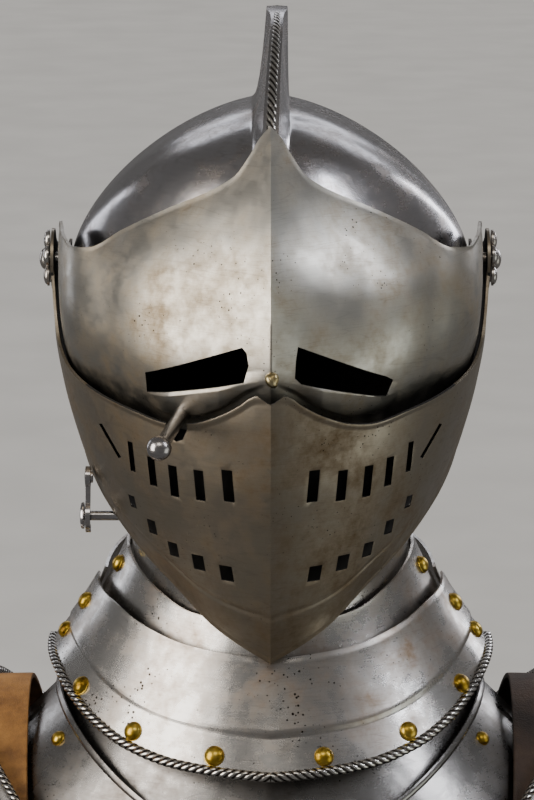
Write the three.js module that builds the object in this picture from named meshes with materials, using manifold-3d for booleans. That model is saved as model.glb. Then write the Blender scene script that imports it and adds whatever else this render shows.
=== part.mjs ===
// Corselet armour for a general figure, standing in its worn form: close helmet, gorget, pauldrons with
// upper arm lames, breastplate, backplate, fauld and tassets. Millimetres, +Z up, the front faces -Y,
// the wearer's right is -X. The origin is the centre of the neck, level with the top of the collar.
import * as THREE from "three";
import Module from "manifold-3d";

const wasm = await Module();
wasm.setup();

// Driving sizes.
const WALL = 1.4; // sheet steel
const THICK_WALL = 2.0; // breastplate and the large body plates
const LEATHER = 3.0;
const STRAP_WIDTH = 24;

const PIVOT_HEIGHT = 205; // helmet pivots above the origin
const SKULL_HALF = 98; // half width at the pivots, shell by shell from the inside out
const BEVOR_HALF = 100.4;
const VISOR_HALF = 103.8;
const VENTAIL_HALF = 107.6;
const COMB_RADIUS = 124; // the crest is an arc about the pivots, so the visor's keel rides over it
const PIN_RADIUS = 3.2;
const PIN_HOLE = 4.2;

const TORSO_Y = 15; // the trunk stands a little behind the head
const ARM_X = 205; // centre of the upper arm
const WAIST_Z = -396;

const steelHelmet = () => new THREE.MeshStandardMaterial({ color: 0xb9b6ae, metalness: 1, roughness: 0.25 });
const steelPlate = () => new THREE.MeshStandardMaterial({ color: 0xa9a69f, metalness: 1, roughness: 0.32 });
const leather = () => new THREE.MeshStandardMaterial({ color: 0xa9794b, metalness: 0, roughness: 0.7 });

const armour = new THREE.Group();
armour.name = "corselet_armour";

// Helpers.
const rad = (degrees) => (degrees * Math.PI) / 180;
const mix = (a, b, t) => a + (b - a) * t;
const clamp = (t) => Math.min(1, Math.max(0, t));
const mirrored = (values) => [...values.slice(1).reverse().map((v) => -v), ...values];
const steps = (count, from = 0, to = 1) =>
  Array.from({ length: count + 1 }, (_, i) => mix(from, to, i / count));

// A smooth curve through the rows of a short table that never overshoots them.
function through(rows, key, value) {
  const xs = rows.map((row) => row[key]);
  const ys = rows.map((row) => row[value]);
  const last = xs.length - 1;
  const slope = xs.slice(1).map((x, i) => (ys[i + 1] - ys[i]) / (x - xs[i]));
  const tangent = xs.map((_, i) => {
    if (i === 0) return slope[0];
    if (i === last) return slope[last - 1];
    const [a, b] = [slope[i - 1], slope[i]];
    return a * b <= 0 ? 0 : (2 * a * b) / (a + b);
  });
  return (x) => {
    if (x <= xs[0]) return ys[0];
    if (x >= xs[last]) return ys[last];
    let i = 0;
    while (x > xs[i + 1]) i += 1;
    const span = xs[i + 1] - xs[i];
    const t = (x - xs[i]) / span;
    const [t2, t3] = [t * t, t * t * t];
    return (
      (2 * t3 - 3 * t2 + 1) * ys[i] +
      (t3 - 2 * t2 + t) * span * tangent[i] +
      (3 * t2 - 2 * t3) * ys[i + 1] +
      (t3 - t2) * span * tangent[i + 1]
    );
  };
}

// A closed body from two grids of points, the outer and the inner face, and the four edges between them.
function closedGrid(outer, inner) {
  const [nu, nv] = [outer.length, outer[0].length];
  const points = [...outer.flat(), ...inner.flat()];
  const at = (side, i, j) => side * nu * nv + i * nv + j;
  const triangles = [];
  const quad = (a, b, c, d) => triangles.push([a, b, c], [a, c, d]);
  for (let i = 0; i < nu - 1; i += 1) {
    for (let j = 0; j < nv - 1; j += 1) {
      quad(at(0, i, j), at(0, i + 1, j), at(0, i + 1, j + 1), at(0, i, j + 1));
      quad(at(1, i, j), at(1, i, j + 1), at(1, i + 1, j + 1), at(1, i + 1, j));
    }
    quad(at(0, i, 0), at(1, i, 0), at(1, i + 1, 0), at(0, i + 1, 0));
    quad(at(0, i + 1, nv - 1), at(1, i + 1, nv - 1), at(1, i, nv - 1), at(0, i, nv - 1));
  }
  for (let j = 0; j < nv - 1; j += 1) {
    quad(at(0, 0, j + 1), at(1, 0, j + 1), at(1, 0, j), at(0, 0, j));
    quad(at(0, nu - 1, j), at(1, nu - 1, j), at(1, nu - 1, j + 1), at(0, nu - 1, j + 1));
  }
  return { points, triangles };
}

// Sheet metal: at(u, v) is the outer face, the inner face lies one wall behind it, and raise(u, v)
// lifts the outer face alone, for a turned rim or a step. behind is a point on the hollow side.
function sheet({ across, down, at, behind, wall = WALL, raise = () => 0 }) {
  const face = across.map((u) => down.map((v) => at(u, v)));
  const [nu, nv] = [face.length, face[0].length];
  const quadNormal = (i, j) =>
    new THREE.Vector3()
      .subVectors(face[i + 1][j + 1], face[i][j])
      .cross(new THREE.Vector3().subVectors(face[i][j + 1], face[i + 1][j]))
      .normalize();
  const quads = across.slice(1).map((_, i) => down.slice(1).map((__, j) => quadNormal(i, j)));
  const around = (i, j) =>
    [[i - 1, j - 1], [i - 1, j], [i, j - 1], [i, j]]
      .filter(([a, b]) => a >= 0 && b >= 0 && a < nu - 1 && b < nv - 1)
      .map(([a, b]) => quads[a][b]);
  let facing = 0;
  quads.forEach((row, i) =>
    row.forEach((n, j) => {
      facing += n.dot(new THREE.Vector3().subVectors(face[i][j], behind));
    }),
  );
  const outwards = facing < 0 ? -1 : 1;
  const outer = [];
  const inner = [];
  face.forEach((row, i) => {
    outer.push([]);
    inner.push([]);
    row.forEach((p, j) => {
      const near = around(i, j);
      const normal = near.reduce((sum, n) => sum.add(n), new THREE.Vector3()).normalize();
      const mitre = Math.min(1.5, 1 / Math.max(0.5, Math.min(...near.map((n) => n.dot(normal)))));
      normal.multiplyScalar(outwards);
      outer[i].push(p.clone().addScaledVector(normal, raise(across[i], down[j])));
      inner[i].push(p.clone().addScaledVector(normal, -wall * mitre));
    });
  });
  return closedGrid(outer, inner);
}

// A body turned about its own +Z axis from a closed outline that starts and ends on the axis.
function turned(outline, sides = 20) {
  const points = [];
  const rings = outline.map(({ r, z }) => {
    if (r < 1e-6) return [points.push(new THREE.Vector3(0, 0, z)) - 1];
    return steps(sides, 0, 2 * Math.PI)
      .slice(0, sides)
      .map((a) => points.push(new THREE.Vector3(r * Math.cos(a), r * Math.sin(a), z)) - 1);
  });
  const triangles = [];
  rings.slice(1).forEach((upper, k) => {
    const lower = rings[k];
    for (let s = 0; s < sides; s += 1) {
      const n = (s + 1) % sides;
      if (lower.length > 1) triangles.push([lower[s], lower[n], upper[upper.length > 1 ? n : 0]]);
      if (upper.length > 1) triangles.push([lower[lower.length > 1 ? s : 0], upper[n], upper[s]]);
    }
  });
  return { points, triangles };
}

// A flat ring or a plain disc of sheet, square to X, reaching from x0 to x1.
function eyeDisc(radius, x0, x1, y = 0, z = PIVOT_HEIGHT) {
  const disc = turned([{ r: 0, z: 0 }, { r: radius, z: 0 }, { r: radius, z: x1 - x0 }, { r: 0, z: x1 - x0 }]);
  return placed(disc, new THREE.Matrix4().makeRotationY(Math.PI / 2).setPosition(x0, y, z));
}

// A straight prism with a convex outline [x, z], from y0 to y1, about the point (0, z0).
function prism(outline, y0, y1, z0 = PIVOT_HEIGHT) {
  const n = outline.length;
  const points = [y0, y1].flatMap((y) => outline.map(([x, z]) => new THREE.Vector3(x, y, z + z0)));
  const triangles = [];
  for (let i = 1; i < n - 1; i += 1) triangles.push([0, i, i + 1], [n, n + i + 1, n + i]);
  for (let i = 0; i < n; i += 1) {
    const j = (i + 1) % n;
    triangles.push([i, i + n, j], [j, i + n, j + n]);
  }
  return { points, triangles };
}

// A flat bar that follows a path: straps, hooks and tabs. side is the way its width lies, for the whole
// bar or point by point.
function bar(path, side, width, thick) {
  const rows = path.map((p, i) => {
    const half = (Array.isArray(side) ? side[i] : side).clone().normalize().multiplyScalar(width / 2);
    const along = path[Math.min(i + 1, path.length - 1)].clone().sub(path[Math.max(i - 1, 0)]);
    const out = along.cross(half).normalize().multiplyScalar(thick / 2);
    return [
      p.clone().add(half).add(out),
      p.clone().sub(half).add(out),
      p.clone().sub(half).sub(out),
      p.clone().add(half).sub(out),
    ];
  });
  const points = rows.flat();
  const triangles = [];
  for (let i = 0; i < rows.length - 1; i += 1) {
    for (let k = 0; k < 4; k += 1) {
      const [a, b] = [i * 4 + k, i * 4 + ((k + 1) % 4)];
      triangles.push([a, b, b + 4], [a, b + 4, a + 4]);
    }
  }
  const end = points.length - 4;
  triangles.push([0, 2, 1], [0, 3, 2], [end, end + 1, end + 2], [end, end + 2, end + 3]);
  return { points, triangles };
}

function placed(body, matrix) {
  return { points: body.points.map((p) => p.clone().applyMatrix4(matrix)), triangles: body.triangles };
}

// The same body facing outwards, whichever way round its triangles were listed.
function facingOut({ points, triangles }) {
  const volume = triangles.reduce(
    (sum, [a, b, c]) => sum + points[a].dot(new THREE.Vector3().crossVectors(points[b], points[c])),
    0,
  );
  return { points, triangles: volume < 0 ? triangles.map(([a, b, c]) => [a, c, b]) : triangles };
}

function solid(body) {
  const { points, triangles } = facingOut(body);
  return new wasm.Manifold(
    new wasm.Mesh({
      numProp: 3,
      vertProperties: Float32Array.from(points.flatMap((p) => [p.x, p.y, p.z])),
      triVerts: Uint32Array.from(triangles.flat()),
    }),
  );
}

// Puts one named piece into the group: the body, with others joined to it and then cut from it.
function piece(name, material, body, { join = [], cut = [] } = {}) {
  let whole = solid(body);
  join.forEach((other) => {
    whole = whole.add(solid(other));
  });
  cut.forEach((other) => {
    whole = whole.subtract(solid(other));
  });
  const mesh = whole.getMesh();
  const geometry = new THREE.BufferGeometry();
  geometry.setAttribute("position", new THREE.BufferAttribute(Float32Array.from(mesh.vertProperties), 3));
  geometry.setIndex(new THREE.BufferAttribute(Uint32Array.from(mesh.triVerts), 1));
  geometry.computeVertexNormals();
  const node = new THREE.Mesh(geometry, material());
  node.name = name;
  armour.add(node);
}

const flipped = (body) => placed(body, new THREE.Matrix4().makeScale(-1, 1, 1));
// Builds a piece for the wearer's right (-X) and its mirror image for the left.
function pair(name, material, body, options = {}) {
  piece(`${name}_right`, material, body, options);
  const mirror = Object.fromEntries(Object.entries(options).map(([key, list]) => [key, list.map(flipped)]));
  piece(`${name}_left`, material, flipped(body), mirror);
}

// A point of the helmet: to the wearer's left, forward, and up, measured from the pivots' axis.
const head = (left, forward, up) => new THREE.Vector3(left, -forward, PIVOT_HEIGHT + up);
// The same with the last two turned to an angle above straight ahead and a radius.
const headPolar = (left, angle, radius) =>
  head(left, radius * Math.cos(rad(angle)), radius * Math.sin(rad(angle)));

// A point of a plan outline at an angle from straight ahead: keeled in front, plain behind.
function plan(angle, half, front, back, keel) {
  const s = Math.abs(Math.sin(rad(angle)));
  const left = half * Math.sin(rad(angle));
  const forward =
    Math.abs(angle) <= 90
      ? front * Math.sqrt(Math.max(0, 1 - keel * s - (1 - keel) * s * s))
      : -back * Math.abs(Math.cos(rad(angle)));
  return { left, forward };
}

const HOLE_REACH = 150;
const pinHole = turned([
  { r: 0, z: -HOLE_REACH }, { r: PIN_HOLE, z: -HOLE_REACH }, { r: PIN_HOLE, z: HOLE_REACH }, { r: 0, z: HOLE_REACH },
], 12);
const throughPivots = placed(
  pinHole, new THREE.Matrix4().makeRotationY(Math.PI / 2).setPosition(0, 0, PIVOT_HEIGHT));
const bothEyes = (radius, outer, wall = WALL) => [
  eyeDisc(radius, outer - wall, outer),
  eyeDisc(radius, -outer, -outer + wall),
];

// The height of a turned rim, which falls off over its band from the edge.
const bead = (distance, band, height) => height * Math.sqrt(Math.max(0, 1 - (distance / band) ** 2));

// Skull of the helmet, with its comb.
const skullRadius = through(
  [
    { angle: 20, r: 103 }, { angle: 39, r: 101 }, { angle: 60, r: 89 }, { angle: 90, r: 79 },
    { angle: 120, r: 86.5 }, { angle: 150, r: 100 }, { angle: 180, r: 108 },
  ],
  "angle", "r",
);
const skullHalf = through(
  [
    { up: -125, half: 68 }, { up: -110, half: 71.5 }, { up: -90, half: 78.5 }, { up: -60, half: 88.5 },
    { up: -30, half: 95 }, { up: 0, half: SKULL_HALF },
  ],
  "up", "half",
);
const skullBack = through(
  [{ up: -125, back: 80 }, { up: -90, back: 88 }, { up: -50, back: 101 }, { up: 0, back: 108 }],
  "up", "back",
);
const SKULL_FALL = 1.5; // how fast the skull rounds away from its middle
const SKULL_ROUND = 0.642;
const rounded = (s) => Math.max(0, 1 - Math.abs(s) ** SKULL_FALL) ** SKULL_ROUND;
const COMB_HALF = 3.4;
const COMB_FOOT = 10;
// The comb's height over the skull, from its crest at 1 down its hollow sides to 0.
const combSide = (x) => clamp((COMB_FOOT - Math.abs(x)) / (COMB_FOOT - COMB_HALF)) ** 2.6;
const combRun = through(
  [{ angle: 24, share: 0 }, { angle: 34, share: 1 }, { angle: 150, share: 1 }, { angle: 180, share: 0 }],
  "angle", "share",
);
const skullColumns = mirrored([0, COMB_HALF, 5, COMB_FOOT, 20, 33, 48, 62, 75, 86, 93.5, 97.3]);
const NAPE_ROWS = 4;
const DOME_ROWS = 16;
const SKULL_BOTTOM = -124;
function skullPoint(x, v) {
  if (v <= 1) {
    const angle = mix(20, 180, v);
    const bare = skullRadius(angle);
    const lift = (COMB_RADIUS - bare) * combSide(x) * combRun(angle);
    return headPolar(x, angle, bare * rounded(x / SKULL_HALF) + lift);
  }
  const up = SKULL_BOTTOM * (v - 1);
  const s = x / SKULL_HALF;
  return head(s * skullHalf(up), -skullBack(up) * rounded(s), up);
}
piece("skull", steelHelmet, sheet({
  across: skullColumns,
  down: [...steps(DOME_ROWS), ...steps(NAPE_ROWS, 1, 2).slice(1)],
  at: skullPoint,
  behind: head(0, 0, 0),
}), { join: bothEyes(11, SKULL_HALF - 0.3), cut: [throughPivots] });

// Lower bevor.
const bevorHalf = through(
  [
    { up: -174, half: 68 }, { up: -150, half: 68.5 }, { up: -139, half: 69.8 }, { up: -120, half: 74 },
    { up: -90, half: 82.5 }, { up: -60, half: 91.5 }, { up: -30, half: 98 }, { up: 0, half: BEVOR_HALF },
  ],
  "up", "half",
);
const bevorFront = through(
  [
    { up: -174, front: 79 }, { up: -156, front: 80.5 }, { up: -125, front: 94 }, { up: -95, front: 110 },
    { up: -55, front: 115 }, { up: 0, front: 104 },
  ],
  "up", "front",
);
const bevorTop = through(
  [
    { angle: 0, up: -62 }, { angle: 30, up: -62 }, { angle: 60, up: -52 }, { angle: 76, up: -30 },
    { angle: 86, up: 0 }, { angle: 97, up: 8 },
  ],
  "angle", "up",
);
piece("bevor", steelHelmet, sheet({
  across: mirrored([0, 12, 24, 36, 48, 60, 69, 77, 84, 90, 97]),
  down: steps(7),
  at: (angle, v) => {
    const up = mix(bevorTop(Math.abs(angle)), -174, v);
    // The rear edge leans forward towards the neck, clear of the rear lames.
    const narrowed = Math.sign(angle) * mix(84, 86, Math.abs(angle) / 97);
    const turn = Math.abs(angle) > 84 ? mix(angle, narrowed, v) : angle;
    const { left, forward } = plan(turn, bevorHalf(up), bevorFront(up), 98, 0.3);
    return head(left, forward, up);
  },
  behind: head(0, 0, -70),
}), { join: bothEyes(10, BEVOR_HALF), cut: [throughPivots] });

// Visor, keeled, with two sights.
const visorRadius = through(
  [
    { angle: -40, r: 130 }, { angle: -18, r: 133 }, { angle: 0, r: 124 }, { angle: 20, r: 113 }, { angle: 37, r: 109 },
  ],
  "angle", "r",
);
const visorKeel = through(
  [
    { angle: -27, height: 6 }, { angle: -15, height: 10 }, { angle: 0, height: 14 }, { angle: 20, height: 19.5 },
    { angle: 37, height: 23.5 },
  ],
  "angle", "height",
);
const KEEL_HALF = 42;
const visorTop = through(
  [
    { x: 0, angle: 37 }, { x: 5, angle: 35.5 }, { x: 9, angle: 33 }, { x: 17, angle: 29 }, { x: 45, angle: 25.5 },
    { x: 70, angle: 21 }, { x: 88, angle: 15 }, { x: 97, angle: 12 }, { x: 103.3, angle: 60 },
  ],
  "x", "angle",
);
const visorLow = through(
  [
    { x: 0, angle: -27 }, { x: 40, angle: -31 }, { x: 60, angle: -37 }, { x: 80, angle: -46 }, { x: 95, angle: -64 },
    { x: 103.3, angle: -90 },
  ],
  "x", "angle",
);
function visorPoint(x, v) {
  const angle = mix(visorTop(Math.abs(x)), visorLow(Math.abs(x)), v);
  const s = Math.abs(x) / VISOR_HALF;
  const hug = clamp((angle + 5) / 34);
  const round = mix(Math.sqrt(Math.max(0, 1 - s * s)), rounded(s), hug * hug);
  const keel = visorKeel(angle) * clamp(1 - Math.abs(x) / KEEL_HALF) ** 2;
  return headPolar(x, angle, visorRadius(angle) * round + keel);
}
// One sight, seen from the front, as [left, up] corners; its mirror image is the other.
const SIGHT = [[-57.5, -31], [-12.5, -18], [-9.5, -26], [-11.5, -34], [-55.5, -42]];
const mirrorOutline = (outline) => outline.map(([x, z]) => [-x, z]).reverse();
piece("visor", steelHelmet, sheet({
  across: mirrored([0, 4, 10, 19, 31, 44, 57, 69, 80, 89, 96, 100.8, 103.2]),
  down: steps(10),
  at: visorPoint,
  behind: head(0, 0, 0),
}), {
  join: bothEyes(15, VISOR_HALF),
  cut: [throughPivots, prism(SIGHT, -190, -60), prism(mirrorOutline(SIGHT), -190, -60)],
});

// Ventail, with its breaths.
const ventailHalf = through(
  [
    { up: -184, half: 58 }, { up: -140, half: 74.5 }, { up: -113, half: 85.5 }, { up: -83, half: 96 },
    { up: -58, half: 102.5 }, { up: -34, half: 106.3 }, { up: 0, half: VENTAIL_HALF },
  ],
  "up", "half",
);
const ventailFront = through(
  [
    { up: -184, front: 97 }, { up: -170, front: 106 }, { up: -152, front: 116 }, { up: -110, front: 131 },
    { up: -75, front: 141 }, { up: -38, front: 146 }, { up: 0, front: 135 },
  ],
  "up", "front",
);
const ventailTop = through(
  [
    { angle: 0, up: -37.5 }, { angle: 4, up: -38 }, { angle: 7.5, up: -42.8 }, { angle: 14, up: -49.8 },
    { angle: 21, up: -54.5 }, { angle: 27.5, up: -56 }, { angle: 38, up: -53.3 }, { angle: 52, up: -49.6 },
    { angle: 67, up: -44 }, { angle: 76, up: -34 }, { angle: 83, up: -8 }, { angle: 90, up: 8 }, { angle: 97, up: 8 },
  ],
  "angle", "up",
);
const ventailLow = through(
  [
    { angle: 0, up: -180 }, { angle: 25, up: -163 }, { angle: 40, up: -146 }, { angle: 55, up: -130 },
    { angle: 72, up: -108 }, { angle: 97, up: -84 },
  ],
  "angle", "up",
);
const VENTAIL_KEEL = 0.42;
function ventailPoint(angle, v) {
  const up = mix(ventailTop(Math.abs(angle)), ventailLow(Math.abs(angle)), v);
  const { left, forward } = plan(angle, ventailHalf(up), ventailFront(up), 104, VENTAIL_KEEL);
  return head(left, forward, up);
}
// Upright slots: left edge, right edge, bottom and top, from the keel outwards on the wearer's right.
const SLOTS = [
  { from: -21.5, to: -16.5, low: -91, high: -75 }, { from: -34.5, to: -30, low: -92.5, high: -77 },
  { from: -46.5, to: -42.5, low: -93, high: -77 }, { from: -56.5, to: -53, low: -90, high: -75 },
  { from: -66, to: -63.5, low: -85.5, high: -70 },
];
const SQUARES = [
  { from: -23, to: -17, low: -133, high: -125 }, { from: -36, to: -30.5, low: -130, high: -122 },
  { from: -47.5, to: -43, low: -126, high: -118.5 }, { from: -57.5, to: -53.5, low: -117, high: -109.5 },
  { from: -66.5, to: -63.5, low: -106, high: -99.5 },
];
const SLITS = [[[-81.5, -66.5], [-80, -65.5], [-70.5, -80], [-72, -81]]];
const breaths = [
  ...[...SLOTS, ...SQUARES].map(({ from, to, low, high }) => [[from, low], [to, low], [to, high], [from, high]]),
  ...SLITS,
];
// The notch in the upper rim that takes the visor's lifting peg, on the wearer's right only.
const NOTCH = [[-48.5, -40], [-48.5, -58], [-46.5, -63], [-43.5, -64.5], [-40.5, -63], [-38.5, -58], [-38.5, -40]];
const CENTRE_NOTCH = [[-5, -30], [0, -42.5], [5, -30]];
piece("ventail", steelHelmet, sheet({
  across: mirrored([0, 4, 12, 21, 30, 39, 48, 57, 65, 72, 78, 83, 89, 97]),
  down: [0, 0.06, ...steps(6, 0.2, 1)],
  at: ventailPoint,
  behind: head(0, 0, -80),
  raise: (angle, v) => bead(v, 0.08, 1),
}), {
  join: bothEyes(15, VENTAIL_HALF),
  cut: [
    throughPivots, prism(NOTCH, -170, -60), prism(CENTRE_NOTCH, -170, -100),
    ...breaths.flatMap((outline) => [prism(outline, -170, -20), prism(mirrorOutline(outline), -170, -20)]),
  ],
});

// Lifting peg, pivots and lock. alongX turns a lathe's axis to +X or -X.
const alongX = (x, y, z, sign) =>
  new THREE.Matrix4().makeRotationY((sign * Math.PI) / 2).setPosition(x, y, z);
const ROSETTE_FROM = VENTAIL_HALF + 1.3;
const rosette = (() => {
  const lobes = steps(5, 0, 2 * Math.PI).slice(0, 5);
  const lobe = turned([{ r: 0, z: 0 }, { r: 5, z: 0 }, { r: 3.8, z: 2.2 }, { r: 0, z: 3 }], 9);
  return lobes.map((a) =>
    placed(lobe, new THREE.Matrix4().makeTranslation(9 * Math.cos(a + 0.3), 9 * Math.sin(a + 0.3), 0)));
})();
// Each pivot: a pin through the four shells, headed inside the skull, with a domed head on a rosette.
const pin = turned([
  { r: 0, z: -17.4 }, { r: 6.5, z: -17.4 }, { r: 6.5, z: -15.4 }, { r: PIN_RADIUS, z: -15.4 }, { r: PIN_RADIUS, z: 0 },
  { r: 9, z: 0 }, { r: 9, z: 1.6 }, { r: 6.4, z: 3 }, { r: 5.6, z: 5.6 }, { r: 0, z: 8 },
], 12);
const toRight = alongX(-ROSETTE_FROM, 0, PIVOT_HEIGHT, -1);
pair("pivot", steelHelmet, placed(pin, toRight), { join: rosette.map((lobe) => placed(lobe, toRight)) });

const PEG_FROM = head(-40.5, 111.4, -52.8);
const PEG_TO = head(-50.4, 157, -60.4);
const PEG_LENGTH = PEG_TO.distanceTo(PEG_FROM);
const pegTurn = new THREE.Quaternion().setFromUnitVectors(
  new THREE.Vector3(0, 0, 1), PEG_TO.clone().sub(PEG_FROM).normalize());
piece("visor_peg", steelHelmet, placed(turned([
  { r: 0, z: 0 }, { r: 2.6, z: 0 }, { r: 2.6, z: PEG_LENGTH - 6 }, { r: 4.4, z: PEG_LENGTH - 4 },
  { r: 5.2, z: PEG_LENGTH }, { r: 4.2, z: PEG_LENGTH + 3.4 }, { r: 0, z: PEG_LENGTH + 5.2 },
], 12), new THREE.Matrix4().compose(PEG_FROM, pegTurn, new THREE.Vector3(1, 1, 1))));

// The lock at the wearer's right: a hook that swings on a pin of the ventail, beside a stud of the bevor
// with a flat disc for a head.
const STUD = head(-67.8, 42, -120);
const HOOK_PIN = head(-86.6, 40, -101);
const HOOK_THICK = 2.4;
const HOOK_FROM_PIN = 1.2;
piece("lock_stud", steelHelmet, placed(turned([
  { r: 0, z: 0 }, { r: 3, z: 0 }, { r: 2.4, z: 2 }, { r: 2.4, z: 22.6 }, { r: 6.6, z: 23.2 }, { r: 6.6, z: 24.6 },
  { r: 0, z: 25.4 },
], 14), alongX(STUD.x, STUD.y, STUD.z, -1)));
const hookX = HOOK_PIN.x - HOOK_FROM_PIN - HOOK_THICK / 2;
const hookPath = [
  new THREE.Vector3(hookX, HOOK_PIN.y - 1, HOOK_PIN.z - 2),
  ...steps(7, 75, -95).map((turn) =>
    new THREE.Vector3(hookX, STUD.y - 6.6 * Math.cos(rad(turn)) * 1.1, STUD.z + 6.6 * Math.sin(rad(turn)))),
];
piece("lock_hook", steelHelmet, bar(hookPath, new THREE.Vector3(1, 0, 0), HOOK_THICK, 3.6), {
  join: [placed(turned([
    { r: 0, z: 0 }, { r: 3, z: 0 }, { r: 3, z: 1 }, { r: 5.4, z: 1.2 }, { r: 5.4, z: 3.6 }, { r: 0, z: 4.4 },
  ], 14), alongX(HOOK_PIN.x, HOOK_PIN.y, HOOK_PIN.z, -1))],
});

// Neck lames, front and rear.
// Each lame is a flared band. Every table row is the lame's upper or lower edge at a plan angle.
function neckLame(name, { top, low, reach, keel, wall = WALL, rim = 0, border = 0 }) {
  const [topUp, lowUp] = [through(top, "angle", "up"), through(low, "angle", "up")];
  const last = top[top.length - 1].angle;
  const across = mirrored(steps(8, 0, last));
  piece(name, steelHelmet, sheet({
    across,
    down: [0, 0.1, 0.4, 0.64, 0.7, 0.88, 1],
    at: (angle, v) => {
      const a = Math.abs(angle);
      const flare = v ** 1.15;
      const { left, forward } = plan(
        angle, mix(reach.half[0], reach.half[1], flare), mix(reach.front[0], reach.front[1], flare), 100, keel);
      return head(left, forward, mix(topUp(a), lowUp(a), v));
    },
    behind: head(0, 0, -170),
    wall,
    raise: (angle, v) => bead(1 - v, 0.11, rim) + (v < 0.66 ? border : 0),
  }), {});
}
neckLame("front_neck_lame_upper", {
  top: [
    { angle: 0, up: -165 }, { angle: 33, up: -162 }, { angle: 54, up: -154 }, { angle: 75, up: -146 },
    { angle: 93, up: -141 },
  ],
  low: [{ angle: 0, up: -198 }, { angle: 60, up: -188 }, { angle: 93, up: -176 }],
  reach: { half: [72, 89], front: [82.1, 91] }, keel: 0.25,
});
neckLame("front_neck_lame_lower", {
  top: [
    { angle: 0, up: -178 }, { angle: 27, up: -175 }, { angle: 48, up: -169 }, { angle: 63, up: -164 },
    { angle: 93, up: -161 },
  ],
  low: [
    { angle: 0, up: -224 }, { angle: 24, up: -222.5 }, { angle: 39, up: -219 }, { angle: 52, up: -212.5 },
    { angle: 64, up: -205 }, { angle: 75, up: -198.5 }, { angle: 93, up: -195 },
  ],
  reach: { half: [86.5, 110], front: [91.5, 116] }, keel: 0.2, rim: 2.6, border: 0.9,
});

// The rear lames run round behind the nape, just inside the ends of the front ones.
const REAR_END = 88.5;
function rearLame(name, { top, low, half, back, rim = 0 }) {
  const across = mirrored(steps(8, 0, REAR_END));
  piece(name, steelHelmet, sheet({
    across,
    down: [0, 0.3, 0.65, 0.88, 1],
    at: (angle, v) => {
      const a = Math.abs(angle) / REAR_END;
      const flare = v ** 1.15;
      const { left, forward } = plan(angle, mix(half[0], half[1], flare), mix(back[0], back[1], flare), 60, 0);
      return head(left, -forward, mix(mix(top[0], top[1], a * a), mix(low[0], low[1], a * a), v));
    },
    behind: head(0, 0, -170),
    raise: (angle, v) => bead(1 - v, 0.11, rim),
  }));
}
rearLame("rear_neck_lame_upper", {
  top: [-108, -137], low: [-158, -160], half: [68.6, 76], back: [86.5, 96],
});
rearLame("rear_neck_lame_lower", {
  top: [-146, -158], low: [-196, -194], half: [83.4, 101.4], back: [98.5, 122], rim: 2.2,
});

// Gorget: collar and main plates.
// The ring of a gorget plate: half width, front and back reach, and heights at front, side and back.
const COLLAR_RING = {
  top: { half: 80, front: 82, back: 84, heights: [2, 14, 14] },
  low: { half: 122.8, front: 124, back: 112, heights: [-72, -34, -38] },
};
const MAIN_RING = {
  top: { half: 105.5, front: 121, back: 114, heights: [-58, -10, -12] },
  low: { half: 152, front: 138, back: 134, heights: [-114, -66, -98] },
};
function gorgetPlate(name, ring, rear, { dish, keel, rim = 0, wall = WALL, cut = [] }) {
  const last = 92;
  piece(name, steelPlate, sheet({
    across: mirrored([0, 5, ...steps(7, 14, last)]),
    down: [0, 0.08, 0.3, 0.55, 0.8, 1],
    at: (angle, v) => {
      const a = Math.min(1, Math.abs(angle) / 90);
      const sideways = (1 - Math.cos(Math.PI * a)) / 2;
      const height = (r) => mix(rear ? r.heights[2] : r.heights[0], r.heights[1], sideways);
      const outwards = 1 - (1 - v) ** dish;
      const side = rear ? "back" : "front";
      const reach = mix(ring.top[side], ring.low[side], outwards);
      const spot = plan(angle, mix(ring.top.half, ring.low.half, outwards), reach, 60, rear ? 0 : keel);
      const z = mix(height(ring.top), height(ring.low), v);
      return new THREE.Vector3(spot.left, rear ? spot.forward : -spot.forward, z);
    },
    behind: new THREE.Vector3(0, 0, -160),
    wall,
    raise: (angle, v) => bead(v, 0.07, rim),
  }), { cut });
}
gorgetPlate("collar_front", COLLAR_RING, false, { dish: 0.8, keel: 0.3, rim: 1.6 });
gorgetPlate("collar_rear", {
  top: { half: 77.5, back: 81.5, heights: [14, 14, 14] },
  low: { half: 119.8, back: 115.6, heights: [-38, -34, -38] },
}, true, { dish: 0.8, keel: 0 });
const keyholeCut = (x) => {
  const hole = turned([{ r: 0, z: -60 }, { r: 3.4, z: -60 }, { r: 3.4, z: 40 }, { r: 0, z: 40 }], 12);
  return placed(hole, new THREE.Matrix4().makeScale(1.7, 1, 1).setPosition(x, -16, 0));
};
gorgetPlate("gorget_front", MAIN_RING, false, {
  dish: 1.25, keel: 0.12, rim: 1.8, cut: [keyholeCut(-119), keyholeCut(119)],
});
gorgetPlate("gorget_rear", {
  top: { half: 103.5, back: 112.4, heights: [-58, -11.4, -13.4] },
  low: { half: 150.1, back: 132.4, heights: [-114, -67.4, -99.4] },
}, true, { dish: 1.25, keel: 0, rim: 0 });

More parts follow.
